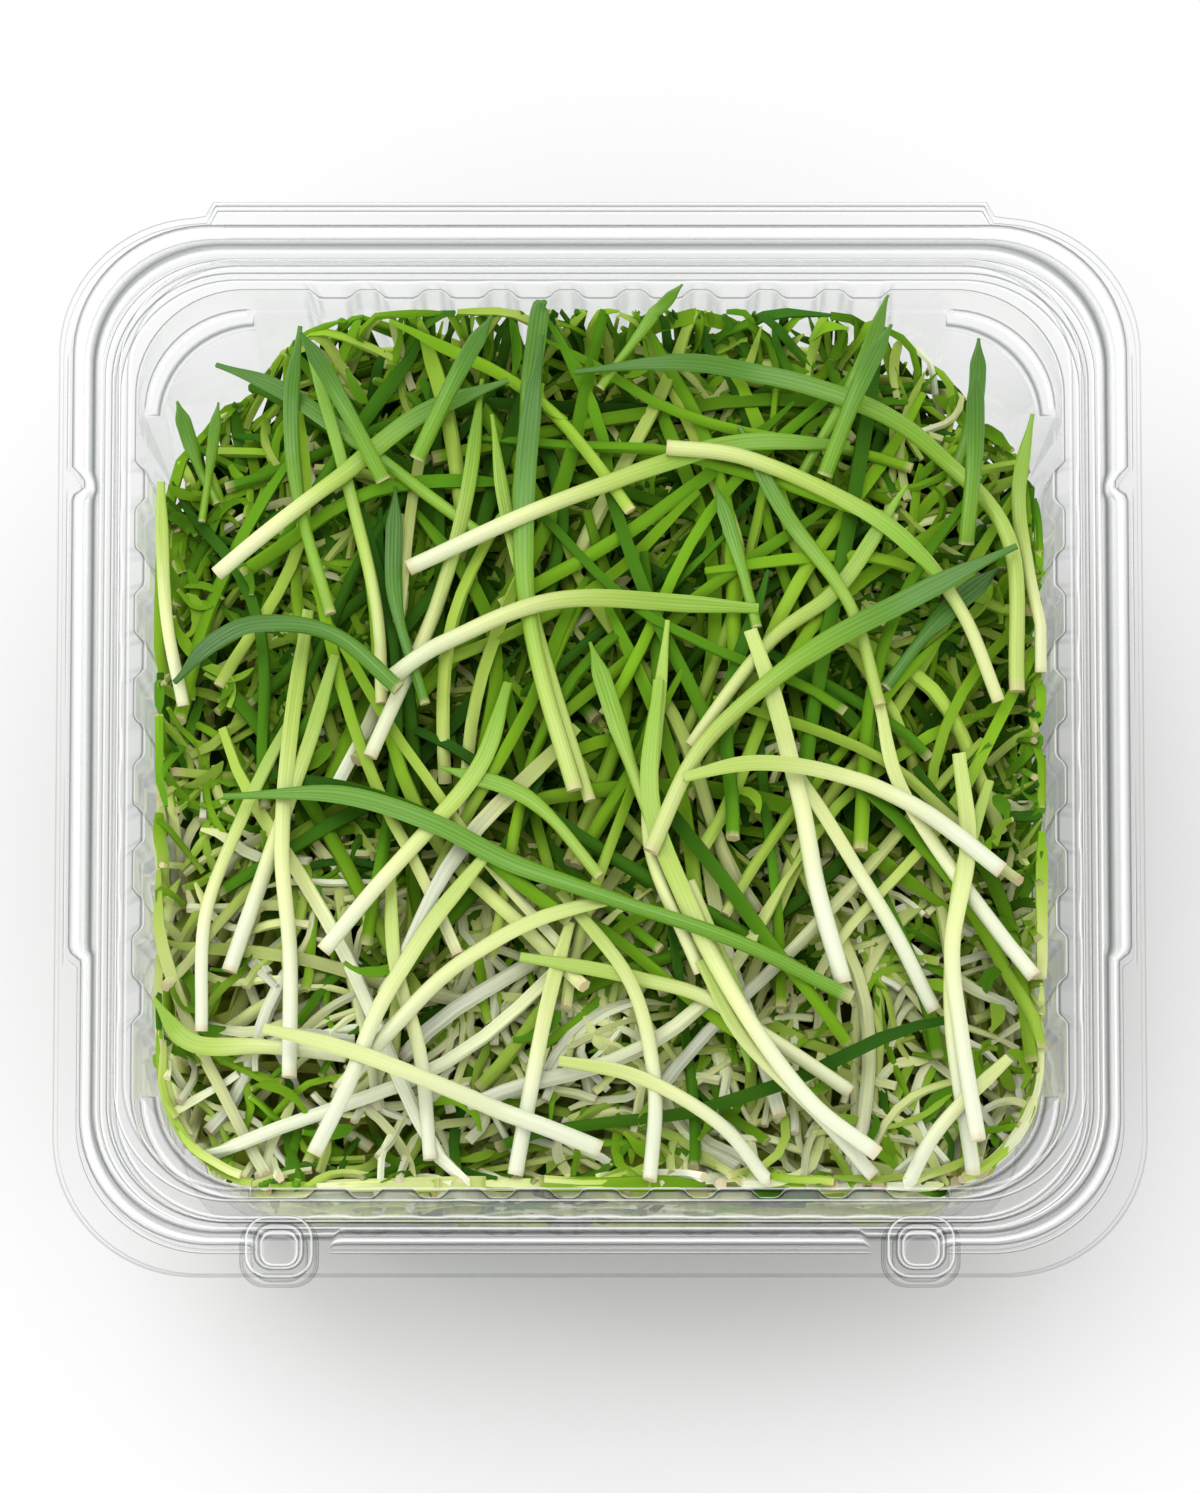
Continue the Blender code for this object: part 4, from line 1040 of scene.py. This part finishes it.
# more long stems that cross on top and have no solid of their own
crossingStems = [
    (0.5, 0.85, 1.9, 2.7, 0.3, (-14.4, 26.6), (-30, 39.1), (-38.5, 45.9), (-46.3, 49.7)),
    (0.6, 0.8, 1.9, 3.0, 0.3, (-10.2, 29.1), (-8.4, 45.3), (-6.6, 58.9, 2)),
    (0.85, 0.95, 1.9, 3.4, 0.2, (34.1, 7.9), (40.7, 16.6), (47.9, 23.5)),
    (0.1, 0.5, 2.2, 2.8, 0.3, (-30.3, -37), (-40.4, -35.8), (-48.8, -34.9), (-53.3, -29.7, 1)),
    (0.25, 0.6, 1.8, 2.4, 0.3, (10.7, -16.8), (16.1, -30.3), (17.8, -39.8)),
    (0.0, 0.22, 2.3, 2.2, 0.8, (39.9, -31.5), (33.4, -19.2), (22.7, -2)),
    (0.0, 0.25, 2.3, 2.2, 0.8, (51.8, -27.2), (42.9, -15.5), (35.8, -4.4), (33.5, 5.5)),
    (0.02, 0.4, 2.3, 2.2, 0.7, (44.5, -51.1), (41.9, -32.7), (42.9, -16.8), (46.6, -3.2)),
    (0.02, 0.45, 2.4, 2.2, 0.7, (-44.3, -26.4), (-35.8, -2), (-31.7, 11.7)),
    (0.0, 0.3, 2.4, 2.3, 0.7, (-10.1, -51.7), (-6.5, -32.7), (-3.6, -21.7)),
    (0.1, 0.42, 2.2, 2.2, 0.7, (29.7, -41.9), (19, -35.2), (9.5, -29.7), (-9.5, -26)),
    (0.55, 0.72, 1.6, 2.4, 0.2, (24, 34.1), (31.3, 47.8), (34.7, 56.3, 4)),
    (0.65, 0.85, 1.6, 2.6, 0.2, (42, 34.1), (45.1, 44.1), (45.7, 52.6, 4)),
    (0.1, 0.5, 1.8, 2.2, 0.3, (54.1, 10.4), (51.5, 22.9), (50.4, 32.8), (52.1, 42.6, 2)),
    (0.5, 0.7, 1.4, 2.0, 0.2, (0, 45.3), (6, 53.5), (9.9, 58.9, 5)),
    (0.6, 0.75, 1.4, 2.4, 0.2, (-46.2, 32.8), (-48.6, 37.8), (-50.9, 43.8, 6)),
    (0.55, 0.7, 1.2, 1.8, 0.2, (-48, 30.3), (-47.1, 36.6), (-45.9, 43.3, 7)),
    (0.2, 0.6, 1.9, 1.9, 0.3, (-26.1, 5.5), (-26.9, 17.9), (-31.2, 36.6), (-35.5, 50.9, 1)),
    (0.05, 0.55, 2.2, 2.2, 0.3, (-27.5, -1.3), (-20.4, 15.4), (-16.2, 30.3), (-14.2, 46.6)),
    (0.3, 0.48, 1.9, 2.1, 0.3, (-1.2, -6.9), (-5.4, 6.7), (-11, 27.8), (-13, 41.6)),
    (0.15, 0.42, 1.9, 2.0, 0.4, (11.9, -27.8), (6, -13.1), (6.6, 0.5), (8.1, 15.4)),
    (0.2, 0.5, 2.0, 2.4, 0.3, (10.8, -0.1), (20.3, 12.9), (28.8, 20.4), (36.8, 32.8)),
    (0.55, 0.75, 1.6, 2.2, 0.2, (18.8, 14.8), (16.8, 22.9), (13.9, 32.8)),
    (0.4, 0.58, 1.9, 2.8, 0.2, (6.6, -11.2), (2.6, 0.5), (-1.2, 12.9)),
    (0.45, 0.6, 1.8, 2.6, 0.2, (0, -16.8), (-8.4, -6.9), (-19.1, -2.6)),
    (0.75, 0.92, 1.6, 2.6, 0.2, (-20.9, 4.9), (-24.5, 17.9), (-24.6, 32.8)),
    (0.02, 0.25, 2.2, 2.1, 0.8, (36.2, -53.5), (40.4, -46.2), (48.7, -37.6)),
    (0.02, 0.35, 2.2, 2.1, 0.8, (5.9, -52.9), (6.5, -41.3), (3.6, -29.1), (-4.8, -18)),
    (0.02, 0.35, 2.2, 2.1, 0.8, (32.6, -51.7), (26.1, -45), (17.2, -36.4), (11.9, -26.6)),
    (0.02, 0.45, 2.0, 2.0, 0.6, (-47.6, -33.4), (-47.1, -19.2), (-42.4, -6.9), (-35.9, 6.7)),
    (0.08, 0.35, 1.9, 2.0, 0.6, (-50, 6.7), (-52.1, 17.9), (-53, 34.7)),
    (0.04, 0.3, 2.1, 2.1, 0.8, (20.2, -52.9), (14.3, -46.2), (4.8, -40.7), (-4.8, -38.3)),
    (0.03, 0.35, 2.1, 2.1, 0.8, (-20.2, -49.9), (-21.4, -37.6), (-24.4, -26.6), (-25, -15.5)),
    (0.5, 0.8, 1.8, 2.4, 0.3, (-32.3, 16.6), (-36, 30.3), (-37.2, 42.8), (-36.1, 52.8, 2)),
    (0.15, 0.5, 2.0, 2.2, 0.5, (47.8, 6.7), (43.1, 17.9), (36, 26.6), (26.4, 32.8)),
    (0.35, 0.75, 1.9, 2.4, 0.3, (33.5, 5.5), (29.9, 17.9), (21.6, 30.3), (16.8, 40.3)),
]


laidSpec = {
    "slimmer": 0.8, "points": 90, "level": 42.0, "margin": 0.6, "liftedMargin": 0.45,
    "flatFrom": 0.45, "sag": 0.012, "settle": 0.4, "placeTone": 0.03, "green": 0.35,
}


def layOnTop(toneFrom, toneTo, width, blade, tip, *route):
    path = smoothPath([(*place, 0)[:3] for place in route], laidSpec["points"])
    level, margin, slimmer = laidSpec["level"], laidSpec["margin"], laidSpec["slimmer"]
    inside = np.array([keepInside(p[0], p[1], level, margin - laidSpec["liftedMargin"] * p[2]) for p in path])
    t = np.linspace(0, 1, len(inside))
    widths, thicks = stemSizes(t, width * slimmer, blade * slimmer, laidSpec["flatFrom"], tip)
    line = layStem(inside, widths, thicks, laidSpec["sag"], laidSpec["settle"])
    line[:, 2] += path[:, 2]
    tone = toneOf(t, line[:, 1], toneFrom, toneTo, laidSpec["placeTone"])
    shade, fold = rng.uniform(0.98, 1.1), foldOf(t, 0.16, 0.5)
    return stemOf(line, widths, thicks, tone, shade, fold, lean=rng.uniform(-0.25, 0.25))


laidTemplate = stemTemplate(12, 46)
crossing = [layOnTop(*entry) for entry in crossingStems]
palest = [s for s in crossing if s["tone"].mean() < laidSpec["green"]]
greenest = [s for s in crossing if s["tone"].mean() >= laidSpec["green"]]
stemPiece("crossingStems", palest, laidTemplate, "base", livingGreen)
stemPiece("crossingLeaves", greenest, laidTemplate, "base", livingGreen)
laid = {entry[0]: layOnTop(*entry[1:]) for entry in laidStems}
for word, plural, slot in (("leaf", "leaves", "leaf_green"), ("stem", "stems", "pale_stem")):
    nodes = [n for n in laid if n.startswith(word)]
    piece = stemPiece(plural + "OnTop", [laid[n] for n in nodes], laidTemplate, "base", livingGreen)
    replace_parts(piece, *nodes)
highest = max(s["line"][:, 2].max() for s in laid.values())
print("long stems laid:", len(laid), "highest", round(highest, 1))


# Studio

studioSpec = {
    "target": (0.0, -0.00085, 0.0468), "elevation": 75.0, "distance": 2.0, "viewHeight": 0.1783,
    "world": 0.69, "band": 1.3, "bandHeight": 0.42, "bandWidth": 0.22,
    "floorSize": 3.0, "floorDrop": 0.0002, "floorColour": (0.87, 0.87, 0.875), "sensor": 36.0,
    "lights": (
        ("overhead", (-0.2, 0.42, 1.15), 0.8, 4.6),
        ("leftWindow", (-0.9, 0.1, 0.6), 0.3, 1.5),
    ),
}
studio = SimpleNamespace(**studioSpec)


# an even white room with a brighter band of windows round it, which lights the sheet's folds
def makeWorld():
    world = bpy.data.worlds.new("studio")
    world.use_nodes = True
    tree = world.node_tree
    direction = tree.nodes.new("ShaderNodeTexCoord")
    split = tree.nodes.new("ShaderNodeSeparateXYZ")
    tree.links.new(direction.outputs["Generated"], split.inputs[0])
    height = Sock(tree, split.outputs[2])
    away = ((height - studio.bandHeight) / studio.bandWidth).math("ABSOLUTE")
    glow = (1.0 - away).math("MAXIMUM", 0.0) * studio.band + studio.world
    tree.links.new(glow.link, tree.nodes["Background"].inputs[1])
    tree.nodes["Background"].inputs[0].default_value = (1, 1, 1, 1)
    return world


def makeStudio():
    bm = bmesh.new()
    bmesh.ops.create_grid(bm, x_segments=2, y_segments=2, size=studio.floorSize)
    bmesh.ops.translate(bm, vec=(0, 0, -studio.floorDrop), verts=bm.verts)
    mesh = bpy.data.meshes.new("floor")
    bm.to_mesh(mesh)
    bm.free()
    floor = bpy.data.objects.new("floor", mesh)
    mesh.materials.append(makePlainMaterial("paleFloor", studio.floorColour))
    scene.collection.objects.link(floor)
    scene.world = makeWorld()
    target = Vector(studio.target)
    for name, place, size, power in studio.lights:
        lamp = bpy.data.lights.new(name, "AREA")
        lamp.shape, lamp.size, lamp.energy = "SQUARE", size, power
        light = bpy.data.objects.new(name, lamp)
        light.location = place
        light.rotation_euler = (target - Vector(place)).to_track_quat("-Z", "Y").to_euler()
        scene.collection.objects.link(light)
    cam = bpy.data.cameras.new("camera")
    cam.sensor_width = studio.sensor
    cam.lens = studio.sensor * studio.distance / studio.viewHeight
    camera = bpy.data.objects.new("camera", cam)
    tilt = math.radians(studio.elevation)
    away = Vector((0.0, -math.cos(tilt), math.sin(tilt))) * studio.distance
    camera.location = target + away
    camera.rotation_euler = (math.radians(90) - tilt, 0.0, 0.0)
    scene.collection.objects.link(camera)
    scene.camera = camera


makeStudio()
print("studio set")
